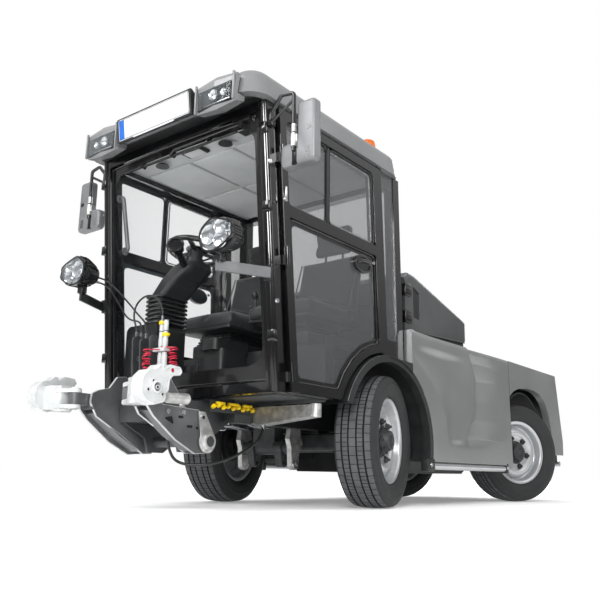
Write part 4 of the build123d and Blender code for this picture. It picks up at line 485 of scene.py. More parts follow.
def pipe_curve(name, points, radius, resolution, kind="POLY"):
    """A round curve object along points in metres; returns it and its line."""
    data = bpy.data.curves.new(name, "CURVE")
    data.dimensions = "3D"
    data.bevel_depth = radius * MM
    data.bevel_resolution = resolution
    line = data.splines.new(kind)
    line.points.add(len(points) - 1)
    for point, place in zip(line.points, points):
        point.co = (*place, 1)
    piece = bpy.data.objects.new(name, data)
    bpy.context.scene.collection.objects.link(piece)
    return piece, line


def tube(mesh, points, radius, bend=0, sides=4, closed=False):
    """A rigid round tube along a route with swept corners."""
    path = rounded(points, bend, 8, closed) if bend else points
    holder, line = pipe_curve("route", [Vector(p) * MM for p in path], radius, sides)
    holder.data.use_fill_caps = True
    line.use_cyclic_u = closed
    graph = bpy.context.evaluated_depsgraph_get()
    made = bpy.data.meshes.new_from_object(holder.evaluated_get(graph))
    mesh.from_mesh(made)
    bpy.data.curves.remove(holder.data)
    bpy.data.meshes.remove(made)


def hoop(mesh, points, radius, sides=2):
    """A rigid round tube that closes on itself."""
    tube(mesh, points, radius, 0, sides, True)


# ---------------------------------------------------------------- wheels
KINGPIN_X, WHEEL_REACH, TYRE_R = 430, 90, 343
CORNERS = [  # name, side, axle y, steer angle at rest
    ("front_left", 1, -605, 13.5), ("front_right", -1, -605, 13.5),
    ("rear_left", 1, 1328, -27.5), ("rear_right", -1, 1328, -27.5),
]
GROOVES = [(-62, -53), (-25, -17), (17, 25), (53, 62)]  # across the tyre
GROOVE_DEPTH, SIPE_DEPTH = 8.0, 4.5
PITCHES = 50  # tread pitches round the tyre
SIPES = [(0.0, 0.07, (0, 1, 3, 4)), (0.5, 0.57, (1, 2, 3))]  # part of a pitch, ribs that it cuts
TREAD_HALF, CROWN_DROP = 88, 6.5  # the tread falls by the drop at this half width
TYRE_WALL = [
    (76, 206), (77, 221), (84, 223.5), (89, 223), (96, 230), (103, 241), (107, 251),
    (109.5, 262), (111, 274), (110.5, 286), (112, 290), (111.5, 294), (108.5, 297),
    (106, 308), (103, 318), (100, 326), (95, 332), (88, 335.5),
]
RIM_OUTLINE = [
    (-84, 221), (-81, 222), (-76, 218), (-76, 205), (-30, 204), (-18, 187), (14, 187), (28, 204),
    (76, 205), (76, 218), (81, 222), (85, 220), (84, 208), (79, 199), (70, 197), (34, 196),
    (26, 190), (22, 180), (-20, 179), (-32, 195), (-70, 197), (-78, 200), (-84, 208),
]
DISC_OUTLINE = [
    (12, 181), (26, 178), (42, 172), (54, 162), (60, 148), (61, 138), (57, 127), (48, 119),
    (46, 112), (46, 81), (38, 81), (38, 114), (42, 122), (51, 130), (54, 138), (52, 146),
    (47, 156), (36, 164), (22, 169), (12, 172),
]
HUB_OUTLINE = [
    (38, 0), (38, 79), (46, 79), (48, 72), (62, 70), (66, 66), (66, 60), (76, 56), (92, 50),
    (96, 44), (94, 30), (88, 26), (88, 0),
]
STUDS = [  # circle radius, count, first angle; then from and to along the axle, radii, sides
    (102.5, 6, 12, 46, 49, 21, 21, 24), (102.5, 6, 12, 49, 62, 16, 15, 6),
    (102.5, 6, 12, 62, 64.5, 14.5, 11, 6), (102.5, 6, 12, 62, 74, 8, 7, 16),
    (62, 8, 0, 64, 72, 6.5, 6.5, 6),
]


def crown(u):
    """The tread's radius at a distance across the tyre."""
    return TYRE_R - CROWN_DROP * (u / TREAD_HALF) ** 2


def tread_pitch(mesh):
    """One pitch of the tyre from bead to bead, with its grooves, and sipes cut in its ribs."""
    tread = [(u, crown(u) - drop) for low, high in GROOVES
             for u, drop in ((low, 0), (low + 1.5, GROOVE_DEPTH), (high - 1.5, GROOVE_DEPTH),
                             (high, 0))]
    outline = [(-u, r) for u, r in TYRE_WALL] + tread + TYRE_WALL[::-1]
    loop = [mesh.verts.new((u * MM, 0, r * MM)) for u, r in outline]
    geom = loop + [mesh.edges.new(pair) for pair in zip(loop, loop[1:] + loop[:1])]
    pitch = math.tau / PITCHES
    stops = sorted({stop for low, high, ribs in SIPES for stop in (low, high)} | {1.0})
    for start, end in zip(stops, stops[1:]):
        geom = bmesh.ops.spin(
            mesh, geom=geom, cent=(0, 0, 0), axis=X, dvec=(0, 0, 0),
            angle=pitch * (end - start), steps=1, use_merge=False, use_duplicate=False,
        )["geom_last"]
    cuts = []
    for face in mesh.faces:
        middle = face.calc_center_median()
        turn, u = math.atan2(-middle.y, middle.z) / pitch % 1.0, middle.x / MM
        rib = sum(u > high for low, high in GROOVES)
        if (
            math.hypot(middle.y, middle.z) >= (TYRE_R - 12) * MM
            and not any(low < u < high for low, high in GROOVES)
            and any(low < turn < high and rib in ribs for low, high, ribs in SIPES)
        ):
            cuts.append(face)
    for face in cuts:
        sunk = bmesh.ops.extrude_discrete_faces(mesh, faces=[face])["faces"][0]
        inward = -sunk.calc_center_median()
        inward.x = 0
        bmesh.ops.translate(mesh, vec=inward.normalized() * SIPE_DEPTH * MM, verts=sunk.verts)
    bmesh.ops.remove_doubles(mesh, verts=mesh.verts, dist=0.00001)


def build_wheel(name, side, axle_y, angle):
    """A treaded tyre on a silver rim with a dished disc, dark nuts and a black hub cap."""
    turn = Matrix.Rotation(math.radians(angle), 4, "Z")
    out = (turn @ X) * side
    centre = Vector((side * KINGPIN_X, axle_y, TYRE_R)) + out * WHEEL_REACH
    body = f"{name}_wheel"
    mesh = bmesh.new()
    tread_pitch(mesh)
    bmesh.ops.spin(
        mesh, geom=mesh.verts[:] + mesh.edges[:] + mesh.faces[:], cent=(0, 0, 0), axis=X,
        dvec=(0, 0, 0), angle=math.tau, steps=PITCHES, use_merge=False, use_duplicate=True,
    )
    bmesh.ops.remove_doubles(mesh, verts=mesh.verts, dist=0.00003)
    bmesh.ops.recalc_face_normals(mesh, faces=mesh.faces)
    for face in mesh.faces:
        middle = face.calc_center_median() / MM
        depth = crown(middle.x) - math.hypot(middle.y, middle.z)
        if abs(middle.x) < TREAD_HALF - 2 and depth < 14:
            # Faces down in a groove or sipe take the painted groove shade.
            face.material_index = 2 if depth > 0.9 else 1
    bmesh.ops.transform(mesh, matrix=Matrix.Translation(centre * MM) @ turn, verts=mesh.verts)
    tyre = finish_piece(f"{name}_tread_tyre", mesh, body,
                        "tyre_rubber tread_rubber groove_rubber", "tyre", 32)
    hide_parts(f"{name}_tyre")
    rim = build(f"{name}_wheel_rim", "wheel_enamel", (lathe, RIM_OUTLINE, centre, out, 96),
                (lathe, DISC_OUTLINE, centre, out, 96), body=body, slot="wheel_silver", smooth=50)
    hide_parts(f"{name}_rim")
    build(f"{name}_hub_and_nuts", "cast_dark", (lathe, HUB_OUTLINE, centre, out), *(
        (rod, spot + out * near, spot + out * far, *radii)
        for radius, count, first, near, far, *radii in STUDS
        for spot in oval(centre, out.cross(Z) * radius, Z * radius, count, math.radians(first))
    ), body=body, smooth=35)


class CARRIER_OT_wheels(bpy.types.Operator):
    """Builds four treaded tyres, dished silver wheels, nuts and hubs"""

    bl_idname = "carrier.wheels"
    bl_label = "Wheels"

    def execute(self, context):
        for corner in CORNERS:
            build_wheel(*corner)
        return {"FINISHED"}


# ---------------------------------------------------------------- hoses
HOSES = [  # node, diameter, length, lay, route
    ("lamp_hose_upper", 9, 707, "hanging", [
        (-486, -1701.7, 1152), (-486, -1640, 1152), (-462, -1608, 1128), (-412, -1598, 1082),
        (-345, -1602, 1030), (-275, -1614, 980), (-205, -1636, 934), (-138, -1664, 898),
        (-74, -1694, 868), (-25, -1716, 826), (-25, -1716, 772.3),
    ]),
    ("lamp_hose_lower", 9, 641, "hanging", [
        (-478, -1701.7, 1124), (-478, -1645, 1124), (-462, -1612, 1096), (-422, -1602, 1042),
        (-372, -1602, 984), (-315, -1612, 932), (-248, -1632, 902), (-178, -1658, 886),
        (-118, -1684, 868), (-79, -1702, 838), (-79, -1702, 786.3),
    ]),
    ("tower_hose_loop", 9, 449, "loose", [
        (-79, -1730, 786.3), (-79, -1730, 824), (-108, -1728, 872), (-113, -1724, 926),
        (-82, -1720, 968), (-26, -1718, 984), (30, -1716, 966), (68, -1716, 930),
        (84, -1716, 886), (84, -1716, 845.3),
    ]),
    ("under_arm_hose", 13, 747, "loose", [
        (126, -1690, 384.7), (126, -1690, 332), (125, -1674, 274), (128, -1646, 222),
        (154, -1610, 200), (202, -1568, 197), (248, -1512, 204), (270, -1436, 226),
        (275, -1362, 255), (274, -1300, 282), (270, -1244, 312), (264, -1206, 346),
        (263, -1190, 393.5),
    ]),
]
FERRULES = [  # start, run and radius of the metal end on each hose
    ((-486, -1702, 1152), (0, 26, 0), 7.5), ((-478, -1702, 1124), (0, 26, 0), 7.5),
    ((-25, -1716, 771), (0, 0, 25), 7), ((-79, -1702, 785), (0, 0, 23), 7),
    ((-79, -1730, 785), (0, 0, 23), 7), ((84, -1716, 844), (0, 0, 24), 7.5),
    ((126, -1690, 386), (0, 0, -34), 10.5), ((263, -1190, 394), (0, -1, -22), 10.5),
]
COUPLERS_X, COUPLERS_Y = (84, 112), -1716


def spiral(x, y, low, high, count):
    """A slightly uneven coil of plastic guard that ends on the coupler's clamp."""
    path = [(x + 14, y + 14, low - 22)]
    for k in range(count * 20 + 1):
        t = math.tau * k / 20
        radius = 17 + 2.5 * math.sin(t * 0.37 + x)
        path.append((x + radius * math.cos(t) + 3 * math.sin(t * 0.21), y + radius * math.sin(t),
                     low + (high - low) * k / (count * 20) + 3 * math.sin(t * 0.63)))
    return [*path, (98, -1728, high + 4)]


class CARRIER_OT_hoses(bpy.types.Operator):
    """Lays the lamp hoses, the loop over the tower and the hose under the arm"""

    bl_idname = "carrier.hoses"
    bl_label = "Hoses"

    def execute(self, context):
        for node, diameter, length, lay, route in HOSES:
            route = [Vector(place) * MM for place in route]
            piece, line = pipe_curve(f"{node}_run", route, diameter / 2, 5, "NURBS")
            piece.data.resolution_u = 10
            line.order_u = 3
            line.use_endpoint_u = True
            piece.data.materials.append(FINISHES["hose_black"])
            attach(piece, "machine")
            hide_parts(node)
        ends = [(Vector(start), Vector(run), radius) for start, run, radius in FERRULES]
        build("hose_ferrules", "bright_metal",
              *((nut, start, start + run, radius) for start, run, radius in ends),
              *((rod, start + run * 0.35, start + run, radius - 1.2, None, 20)
                for start, run, radius in ends))
        build("red_spiral_guards", "hose_red", (tube, spiral(54, -1770, 610, 702, 7), 2.7, 0, 2),
              (tube, spiral(152, -1700, 636, 716, 6), 2.7, 0, 2))
        build("yellow_coupler_clips", "cap_yellow", *(
            row for x, z in zip(COUPLERS_X, (826, 768)) for row in (
                (lathe, [(0, 10.5), (0, 14.5), (3, 16), (13, 16), (16, 14.5), (16, 10.5)],
                 (x, COUPLERS_Y, z), Z, 20),
                (box, (x + 10, -1722, z + 3), (x + 24, -1710, z + 13), 1.5))))
        build("coupler_collars", "bright_metal", *(
            (nut, (x, COUPLERS_Y, z - 5), (x, COUPLERS_Y, z), radius) for x in COUPLERS_X
            for z, radius in ((700, 14.5), (796, 13.2), (846, 12.4), (596, 12.6))))
        return {"FINISHED"}


# ---------------------------------------------------------------- windscreen and side panes
SCREEN_LEAN = math.atan2(130, 1340)
SCREEN_HALF = 537.4
SCREEN_UP = Matrix.Rotation(SCREEN_LEAN, 3, "X") @ Z
SCREEN_BACK = Matrix.Rotation(SCREEN_LEAN, 3, "X") @ Y
WIPER_PIVOT = (455, 1262)
PILLAR_FOOT, PILLAR_HEAD = Vector((571, -1478, 514)), Vector((571, -1607, 1846))
LOWER_PANE = [(-1379.7, 558), (-1055.3, 558)] + [
    (-605 + 499 * math.cos(math.radians(a)), 343 + 499 * math.sin(math.radians(a)))
    for a in (143, 131, 119, 108)
] + [(-685.7, 835.4), (-710.5, 1316), (-1453.2, 1316)]
UPPER_PANES = [
    [(-1458.8, 1374), (-1152, 1374), (-1152, 1788), (-1499, 1788)],
    [(-1136, 1374), (-713.3, 1374), (-733, 1788), (-1136, 1788)],
]
PULL = Vector((619, -838, 1240))


def screen_point(x, s, lift):
    """A point of the windscreen: across, up its lean, and out from its front face."""
    bulge = -6 + 26 * (x / 537.7) ** 2 - lift
    return Vector((x, -1495, 510)) + SCREEN_UP * s + SCREEN_BACK * bulge


def screen_loop(side, low, high, radius, lift, straight=18, arc=8):
    """Points round a rounded rectangle on the screen, as many whatever its size."""
    across, low, high = side - radius, low + radius, high - radius
    arcs = [
        [Vector((x + radius * math.cos(a), s + radius * math.sin(a)))
         for a in (math.radians(turn + 90 * k / arc) for k in range(arc + 1))]
        for x, s, turn in ((across, high, 0), (-across, high, 90), (-across, low, 180),
                           (across, low, 270))
    ]
    return [screen_point(*p, lift) for here, after in zip(arcs, arcs[1:] + arcs[:1])
            for p in here + [here[-1].lerp(after[0], k / straight) for k in range(1, straight)]]


class CARRIER_OT_glazing(bpy.types.Operator):
    """Black borders, rubber seals, the parked wiper and the window catches"""

    bl_idname = "carrier.glazing"
    bl_label = "Glazing"

    def execute(self, context):
        build("windscreen_border", "black_gloss",
              (ring, screen_loop(SCREEN_HALF, 53, 1293.5, 5, 0.1),
               screen_loop(SCREEN_HALF - 26, 122, 1246, 92, 0.1), SCREEN_BACK * -0.9))
        blade = [screen_point(x, 1224 + 0.00006 * x * x, 17) for x in range(-420, 421, 40)]
        arm = [screen_point(*p) for p in
               ((*WIPER_PIVOT, 22), (380, 1256, 30), (20, 1246, 30), (-10, 1228, 26))]
        build("wiper_and_screen_seal", "black_gloss",
              (hoop, screen_loop(SCREEN_HALF - 3, 57, 1289, 10, 2), 5),
              (tube, blade, 6, 0, 2), (tube, [p + SCREEN_BACK * 8 for p in blade], 4, 0, 2),
              (tube, arm, 7.5, 18),
              *((rod, screen_point(x, s, 2), screen_point(x, s, 26), 17, 13)
                for x, s in ((-243, 1232), (238, 1250), (-10, 1232))),
              (rod, screen_point(*WIPER_PIVOT, 0), screen_point(*WIPER_PIVOT, 34), 19, 15),
              (box, screen_point(395, 1272, 20), screen_point(505, 1296, -6), 5))
        spots = [PILLAR_FOOT.lerp(PILLAR_HEAD, s) for s in (0.36, 0.385, 0.18, 0.62, 0.9)]
        build("pillar_covers", "cab_black", (rod, PILLAR_FOOT, PILLAR_HEAD, 25, 25, 48),
              (rod, *spots[:2], 27.5, 27.5, 48),
              *((box, spot + Vector((-8, -32, -26)), spot + Vector((30, 4, 26)), 6)
                for spot in spots[2:]), mirror=True)
        seals = []
        for pane, width in ((LOWER_PANE, 26), *((p, 9) for p in UPPER_PANES)):
            loops = (rounded(at_x(604.2, inset(pane, by)), radius, 6)
                     for by, radius in ((1, 33), (width, 30)))
            seals += [(ring, *loops, X * 0.8),
                      (hoop, rounded(at_x(608, inset(pane, 4)), 30, 6), 5.5)]
        twins("door_seals", "door", "black_gloss", *seals)
        twins("door_catches", "door", "bright_metal",
              (hoop, rounded(at_x(600, inset(UPPER_PANES[1], 16)), 22), 4),
              (box, (619.5, -1500, 1384), (633, -1488, 1452), 4),
              (box, (619.5, -1512, 1378), (633, -1484, 1392), 4),
              (rod, (618, -738, 1268), (624, -738, 1268), 9))
        grip = [(622, -900, 1240), (636, -872, 1250), (636, -804, 1254), (622, -778, 1252)]
        twins("door_pull", "door", "black_gloss", (slab, oval(PULL, Y * 60, Z * 32), X * -6),
              (hoop, oval(PULL + X * 1.5, Y * 72, Z * 44, 40), 5.5, 3), (tube, grip, 9, 20))
        return {"FINISHED"}


# ---------------------------------------------------------------- lamps, plate and beacon
LAMP = Vector((505, -1806, 1155))
LAMP_LINE = [(-95, 22), (-52, 67), (-10, 76), (91, 42), (101, 8), (97, -28), (0, -75), (-74, -56)]
PLATE_LOW = Vector((0, -1776, 1812))
PLATE_UP, PLATE_OUT = Vector((0, -18, 126)).normalized(), Vector((0, -126, -18)).normalized()
PLATE_CARDS = [  # x and z ranges, lift, thickness, finish, corner radius
    (-272, 272, -8, 118, 0, 1.2, 2, 12), (-259, 259, 0, 110, 1.2, 1.4, 0, 10),
    (-256, -216, 3, 107, 2.6, 0.5, 1, 7), (-256, 256, 3, 5.4, 2.6, 0.5, 2, 0),
    (-256, 256, 104.6, 107, 2.6, 0.5, 2, 0), (253.6, 256, 3, 107, 2.6, 0.5, 2, 0),
    (-150, 150, -7, -2, 1.2, 2.5, 0, 2),
]
BEACON = Vector((450, -520, 2018))


def lamp_loop(scale, depth, count=64):
    """Points round a head lamp's outline at a scale and a depth behind its lens."""
    knots = [Vector((x, 0, z)) for x, z in LAMP_LINE]
    loop = []
    for k in range(count):
        i, u = divmod(k * len(knots) / count, 1)
        a, b, c, d = (knots[(int(i) + j - 1) % len(knots)] for j in range(4))
        at = 0.5 * (2 * b + (c - a) * u + (2 * a - 5 * b + 4 * c - d) * u**2
                    + (3 * b - a - 3 * c + d) * u**3)
        loop.append(LAMP + at * scale + Y * depth)
    return loop


def bowl(mesh, centre, radius, depth):
    """A shallow concave reflector that looks forwards, with a raised lip and a bulb."""
    profile = [(0, 0.5)] + [(depth * (k / 8) ** 2, radius * k / 8) for k in range(1, 9)]
    profile += [(depth + 1.5, radius + 1.5), (depth - 3, radius + 3)]
    lathe(mesh, profile, centre, -Y, 32)
    rod(mesh, centre, Vector(centre) - Y * depth * 0.8, radius * 0.16, radius * 0.1, 16)


def plate_card(mesh, x0, x1, z0, z1, lift, thick, index, radius):
    """One layer of the plate, from the sheet's low edge up its lean."""
    corners = [PLATE_LOW + X * x + PLATE_UP * (z + 8) + PLATE_OUT * (lift + 0.4)
               for x, z in ((x0, z0), (x1, z0), (x1, z1), (x0, z1))]
    slab(mesh, rounded(corners, radius, 4) if radius else corners, PLATE_OUT * thick, 0, index)


class CARRIER_OT_lamps(bpy.types.Operator):
    """Head lamps, roof lamps, the blank front plate, beacon foot and tail lamps"""

    bl_idname = "carrier.lamps"
    bl_label = "Lamps"

    def execute(self, context):
        fins = []
        for rim, back in list(zip(lamp_loop(1, -2), lamp_loop(0.7, 84)))[::3]:
            out = (rim - LAMP).normalized()
            fins.append([rim + out, rim.lerp(back, 0.45) + out * 13, back + out * 5])
        build("head_lamp_housings", "black_gloss",
              (ring, lamp_loop(1, 0), lamp_loop(0.9, 0), Y * -16),
              *((tube, fin, 3.2, 0, 1) for fin in fins),
              *((hoop, lamp_loop(1.02 - 0.0036 * y, y), 4, 1) for y in (22, 46)),
              *((rod, LAMP + Vector(start), LAMP + Vector(end), *radii) for start, end, *radii in (
                  ((-16, 40, -58), (-16, 40, -112), 15), ((-38, 34, -78), (10, 46, -78), 11),
                  ((-16, 98, 0), (-16, 122, -4), 15, 9))), mirror=True)
        build("head_lamp_reflectors", "reflector", (slab, lamp_loop(0.93, -2), Y * -1.5),
              *((bowl, LAMP + Vector((x, -3, z)), radius, 9)
                for x, z, radius in ((-40, 4, 44), (30, 32, 36), (30, -26, 38))),
              *((rod, LAMP + Vector((0, -6, 2)), LAMP + Vector((x, -6, z)), 5.5, 4, 8)
                for x, z in ((-10, 70), (-4, -68), (94, 4))), mirror=True)
        build("head_lamp_lenses", "lamp_lens", (slab, lamp_loop(0.91, -13), Y * -4, 2.5),
              mirror=True)
        # The near bracket is bright; the far one is black and part of the structure.
        start, end = Vector((481, -1780, 1006)), Vector((592, -1561.4, 1006))
        along = (end - start).normalized()
        out = along.cross(Z) * 6
        build("left_lamp_bracket", "mirror_shell",
              (slab, [start - along * 2 + out, end + along * 6 + out, end + along * 6 - out,
                      start - along * 2 - out], Z * 48, 2))
        build("roof_lamp_reflectors", "reflector", (bowl, (403, -1758, 1868), 25, 12),
              (bowl, (468, -1758, 1862), 17, 12),
              *((rod, (468, -1766, 1862), spot, 4, 1.5, 8)
                for spot in oval((468, -1760, 1862), X * 32, Z * 32, 3)),
              (box, (345, -1768, 1822), (505, -1762, 1828), 2), mirror=True)
        build("roof_lamp_wells", "black_gloss", (box, (313, -1757.2, 1807), (523, -1756, 1899)),
              *((box, (x0, -1779, z0), (x1, -1757, z1)) for x0, x1, z0, z1 in (
                  (312.4, 315, 1807, 1899), (521, 523.6, 1807, 1899),
                  (313, 523, 1806.4, 1809), (313, 523, 1897, 1899.6))), mirror=True)
        pane = at_y(-1777, ((313, 1807), (523, 1807), (523, 1899), (313, 1899)))
        build("roof_lamp_lenses", "lamp_lens", (slab, rounded(pane, 12), Y * -3, 1), mirror=True)
        build("roof_lamp_cheeks", "roof", (box, (292, -1784, 1796), (302, -1770, 1944), 4),
              (box, (534, -1784, 1800), (545, -1770, 1942), 4), mirror=True)
        build("front_plate", "plate_white plate_blue black_plastic",
              *((plate_card, *card) for card in PLATE_CARDS))
        build("beacon_foot", "black_gloss",
              (lathe, [(0, 0), (0, 62), (20, 61.5), (26, 58), (27, 50), (27, 0)],
               (450, -520, 1988.6), Z, 40))
        feet, tops = (oval(BEACON + Z * z, X * radius, Y * radius, 16)
                      for z, radius in ((0, 51.5), (76, 44.5)))
        build("beacon_ribs", "beacon", *((rod, *ends, 1.6, 1.2, 6) for ends in zip(feet, tops)))
        # Tail lamps: a red, a clear and a red dome in each black housing on the rear tube.
        dome = [(0, 0), (0, 20), (4, 18), (7, 11), (8, 0)]
        build("tail_lamp_housings", "black_plastic", (box, (420, 2022, 288), (584, 2056, 380), 8),
              *((lathe, [(-4, 18), (-4, 25), (5, 24), (5, 20), (0, 18)], (x, 2058, 334), Y, 32)
                for x in (452, 502, 552)), mirror=True)
        for name, finish, places in (("tail_lamp_red", "tail_red", (452, 552)),
                                     ("tail_lamp_clear", "lamp_lens", (502,))):
            build(name, finish, *((lathe, dome, (x, 2056, 334), Y, 32) for x in places),
                  mirror=True)
        return {"FINISHED"}


# ---------------------------------------------------------------- mirrors
SHELL_LINE = [(661, 1496), (855, 1496), (855, 1799), (754, 1799), (752, 1622), (661, 1604)]


class CARRIER_OT_mirrors(bpy.types.Operator):
    """Glossy mirror arms, dark channels, bright clamps, glass and the shells' openings"""

    bl_idname = "carrier.mirrors"
    bl_label = "Mirrors"

    def execute(self, context):
        arm = [(612, -1590, 1790), (672, -1594, 1856), (743, -1592, 1846), (743, -1590, 1560)]
        arms = build(
            "mirror_arms_and_rims", "black_gloss", (tube, arm, 9.4, 20),
            (tube, [(612, -1590, 1742), (743, -1592, 1812)], 7.4),
            (box, (599.6, -1607, 1721), (618.6, -1569, 1807), 5),
            (box, (728, -1585, 1498), (758, -1556, 1640), 4),
            (slab, oval((822, -1584.4, 1660), X * 15, Z * 12, 28), Y * -0.8),
            *((box, (800, -1585, z), (826, -1583.8, z + 5)) for z in range(1560, 1519, -10)),
            (hoop, rounded(at_y(-1542, inset(SHELL_LINE, 5)), 20), 4.5), mirror=True,
        )
        build("mirror_shells", "mirror_shell",
              (slab, rounded(at_y(-1542, SHELL_LINE), 26, 6), Y * -42, 15), mirror=True)
        build("mirror_clamps", "cast_silver", (rod, (743, -1590, 1581), (743, -1590, 1643), 14.5),
              (rod, (743, -1590, 1650), (743, -1590, 1688), 12.5),
              (box, (722, -1594, 1600), (764, -1562, 1640), 6), mirror=True)
        build("mirror_glass_panes", "mirror_glass",
              (slab, rounded(at_y(-1541.6, inset(SHELL_LINE, 8)), 18), Y * 1.6), mirror=True)
        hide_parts("mirrors")
        return {"FINISHED"}


# ---------------------------------------------------------------- cab fittings
HUB = Vector((-250, -1208, 1372))
HUB_AXIS = Matrix.Rotation(math.radians(-13), 3, "X") @ Z
WHEEL_AHEAD = HUB_AXIS.cross(X)
PEDALS = [(-430, 78, 640), (-310, 64, 636), (-215, 56, 636)]  # x, width, height


def pedal(mesh, x, width, z):
    """A leaning pedal plate with four ribs, on its stalk."""
    half = width / 2
    outline = [(x - half, -1224, z), (x + half, -1224, z), (x + half, -1204, z + 96),
               (x - half, -1204, z + 96)]
    slab(mesh, rounded(outline, 14), (0, -9, -2), 2)
    rod(mesh, (x, -1230, z + 40), (x, -1248, 610), 9)
    for k in range(4):
        box(mesh, (x - half + 8, -1223 + 4 * k, z + 14 + 19 * k),
            (x + half - 8, -1214 + 4 * k, z + 20 + 19 * k), 1.5)


class CARRIER_OT_cab(bpy.types.Operator):
    """Grab bar, ceiling pads and lamp, wheel cover, gauge pod, levers and pedals"""

    bl_idname = "carrier.cab"
    bl_label = "Cab fittings"

    def execute(self, context):
        bar = [(-536, -1545, 1645), (-500, -1545, 1645), (-500, -1488, 1355), (-536, -1480, 1355)]
        build("grab_bars", "mirror_shell", (tube, bar, 12, 30),
              *((rod, (-537.6, y, z), (-530, y, z), 22) for x, y, z in bar[::3]), mirror=True)
        build("floor_mats", "floor_mat", (box, (-532, -1424, 531.2), (532, -1066, 534), 1),
              (box, (-532, -1052, 794), (532, -470, 796), 1))
        build("ceiling_pads", "light_trim", *(
            (box, (x0, y0, 1821), (x1, y1, 1834.5), 10, 3)
            for y0, y1 in ((-1370, -960), (-940, -520))
            for x0, x1 in ((-505, -170), (-150, 150), (170, 505))))
        spot = [(0, 0), (0, 26), (-5, 34), (-12, 38), (-12, 0)]
        build("ceiling_lamp_and_vents", "black_plastic",
              (box, (-118, -1490, 1818), (36, -1412, 1834), 8, 3),
              *((lathe, spot, (x, -1450, 1822), Z, 32) for x in (-300, 180)),
              *((box, (290, y, 1829), (430, y + 6, 1834.5), 1) for y in range(-1476, -1420, 12)))
        build("ceiling_lamp_lens", "plate_white",
              (box, (-98, -1480, 1815), (16, -1422, 1820), 4, 3))
        # The rim cover, its stitched beads and the hub cap turn with the wheel.
        rim = oval(HUB, X * 157, WHEEL_AHEAD * 157, 72)
        build("steering_wheel_cover", "black_gloss",
              (lathe, [(2, 0), (2, 62), (8, 60), (16, 44), (18, 0)], HUB, HUB_AXIS, 40),
              (hoop, rim, 15.4, 4),
              *((lathe, [(-2, 15), (-1.2, 16.4), (1.2, 16.4), (2, 15)], bead,
                 HUB_AXIS.cross(bead - HUB), 14) for bead in rim[::3]), body="steering_wheel_body")
        boot = [(-376, -1448), (-260, -1448), (-260, -1236), (-376, -1236)]
        build("gauge_pod_levers_and_boot", "black_gloss",
              (rod, (-200, -1392, 1322), (-181, -1427, 1338), 34, 40, 40),
              (lathe, [(0, 41), (0, 47), (6, 46), (8, 41)], (-181, -1427, 1338),
               (0.47, -0.87, 0.4), 40),
              (rod, (-226, -1318, 1262), (-200, -1392, 1316), 20),
              *(row for x in (-344, -162) for row in (
                  (rod, (-256, -1206, 1306), (x, -1180, 1324), 6, 5),
                  (rod, (x, -1180, 1324), (x + (x + 253) * 0.22, -1177, 1329), 9, 8))),
              *((hoop, rounded([(x, y, z) for x, y in boot], 34), 6.5)
                for z in range(934, 1073, 23)))
        build("pedals", "black_plastic", *((pedal, *values) for values in PEDALS))
        build("armrest_and_switches", "black_plastic",
              (box, (-26, -1010, 1010), (34, -760, 1052), 16, 4),
              (rod, (4, -800, 800), (4, -800, 1020), 18),
              (rod, (4, -984, 1050), (4, -990, 1112), 12, 9),
              (lathe, [(-24, 0), (-22, 12), (-8, 21), (8, 22), (22, 14), (26, 0)],
               (4, -992, 1126), (0, -0.1, 1), 24),
              *((lathe, [(0, 0), (0, 9), (8, 8), (9, 0)], (x, -1290, 832), Z, 20)
                for x in (-44, -14, 16, 46)))
        build("pillar_studs", "bright_metal", *(
            (rod, (600, y, z), (607, y, z), 11, 9, 20)
            for y, z in ((-1592, 1749), (-1584, 1553), (-1512, 910))), mirror=True)
        return {"FINISHED"}


# ---------------------------------------------------------------- seats
SEAT_X = 270
SEAT_SIDES = [  # yz outline, half width, corner radius
    ([(-1118, 958), (-684, 952), (-686, 1022), (-1100, 1030)], 208, 34),
    ([(-742, 1034), (-652, 1034), (-576, 1378), (-642, 1380)], 202, 30),
    ([(-634, 1408), (-586, 1402), (-572, 1574), (-628, 1576)], 118, 24),
]
SWELL = 14 * MM
WEAVE = 8 * MM  # spacing of the points that the covers are blown up from
SWELL_STEPS = 12


def swell(context, pads):
    """Blows the covers up on their foam, with each point held near its start."""
    scene = context.scene

    def bake():
        """Takes what the modifiers make as the pads' own mesh."""
        graph = context.evaluated_depsgraph_get()
        data = bpy.data.meshes.new_from_object(pads.evaluated_get(graph))
        pads.modifiers.clear()
        pads.data = data
        return data

    remesh = pads.modifiers.new("weave", "REMESH")
    remesh.mode = "VOXEL"
    remesh.voxel_size = WEAVE
    remesh.use_smooth_shade = True
    start = [v.co.copy() for v in bake().vertices]
    cover = pads.modifiers.new("cover", "CLOTH").settings
    cover.quality = 4
    cover.use_pressure = True
    cover.uniform_pressure_force = 4.0
    cover.effector_weights.gravity = 0.0
    cover.tension_stiffness = 12
    cover.bending_stiffness = 2
    for step in range(SWELL_STEPS):
        scene.frame_set(step + 1)
    blown = bake()
    for vertex, first in zip(blown.vertices, start):
        move = vertex.co - first
        if move.length > SWELL:
            vertex.co = first + move.normalized() * SWELL
    scene.frame_set(1)
    for polygon in blown.polygons:
        polygon.use_smooth = True
    if not blown.materials:
        blown.materials.append(FINISHES["seat_cloth"])


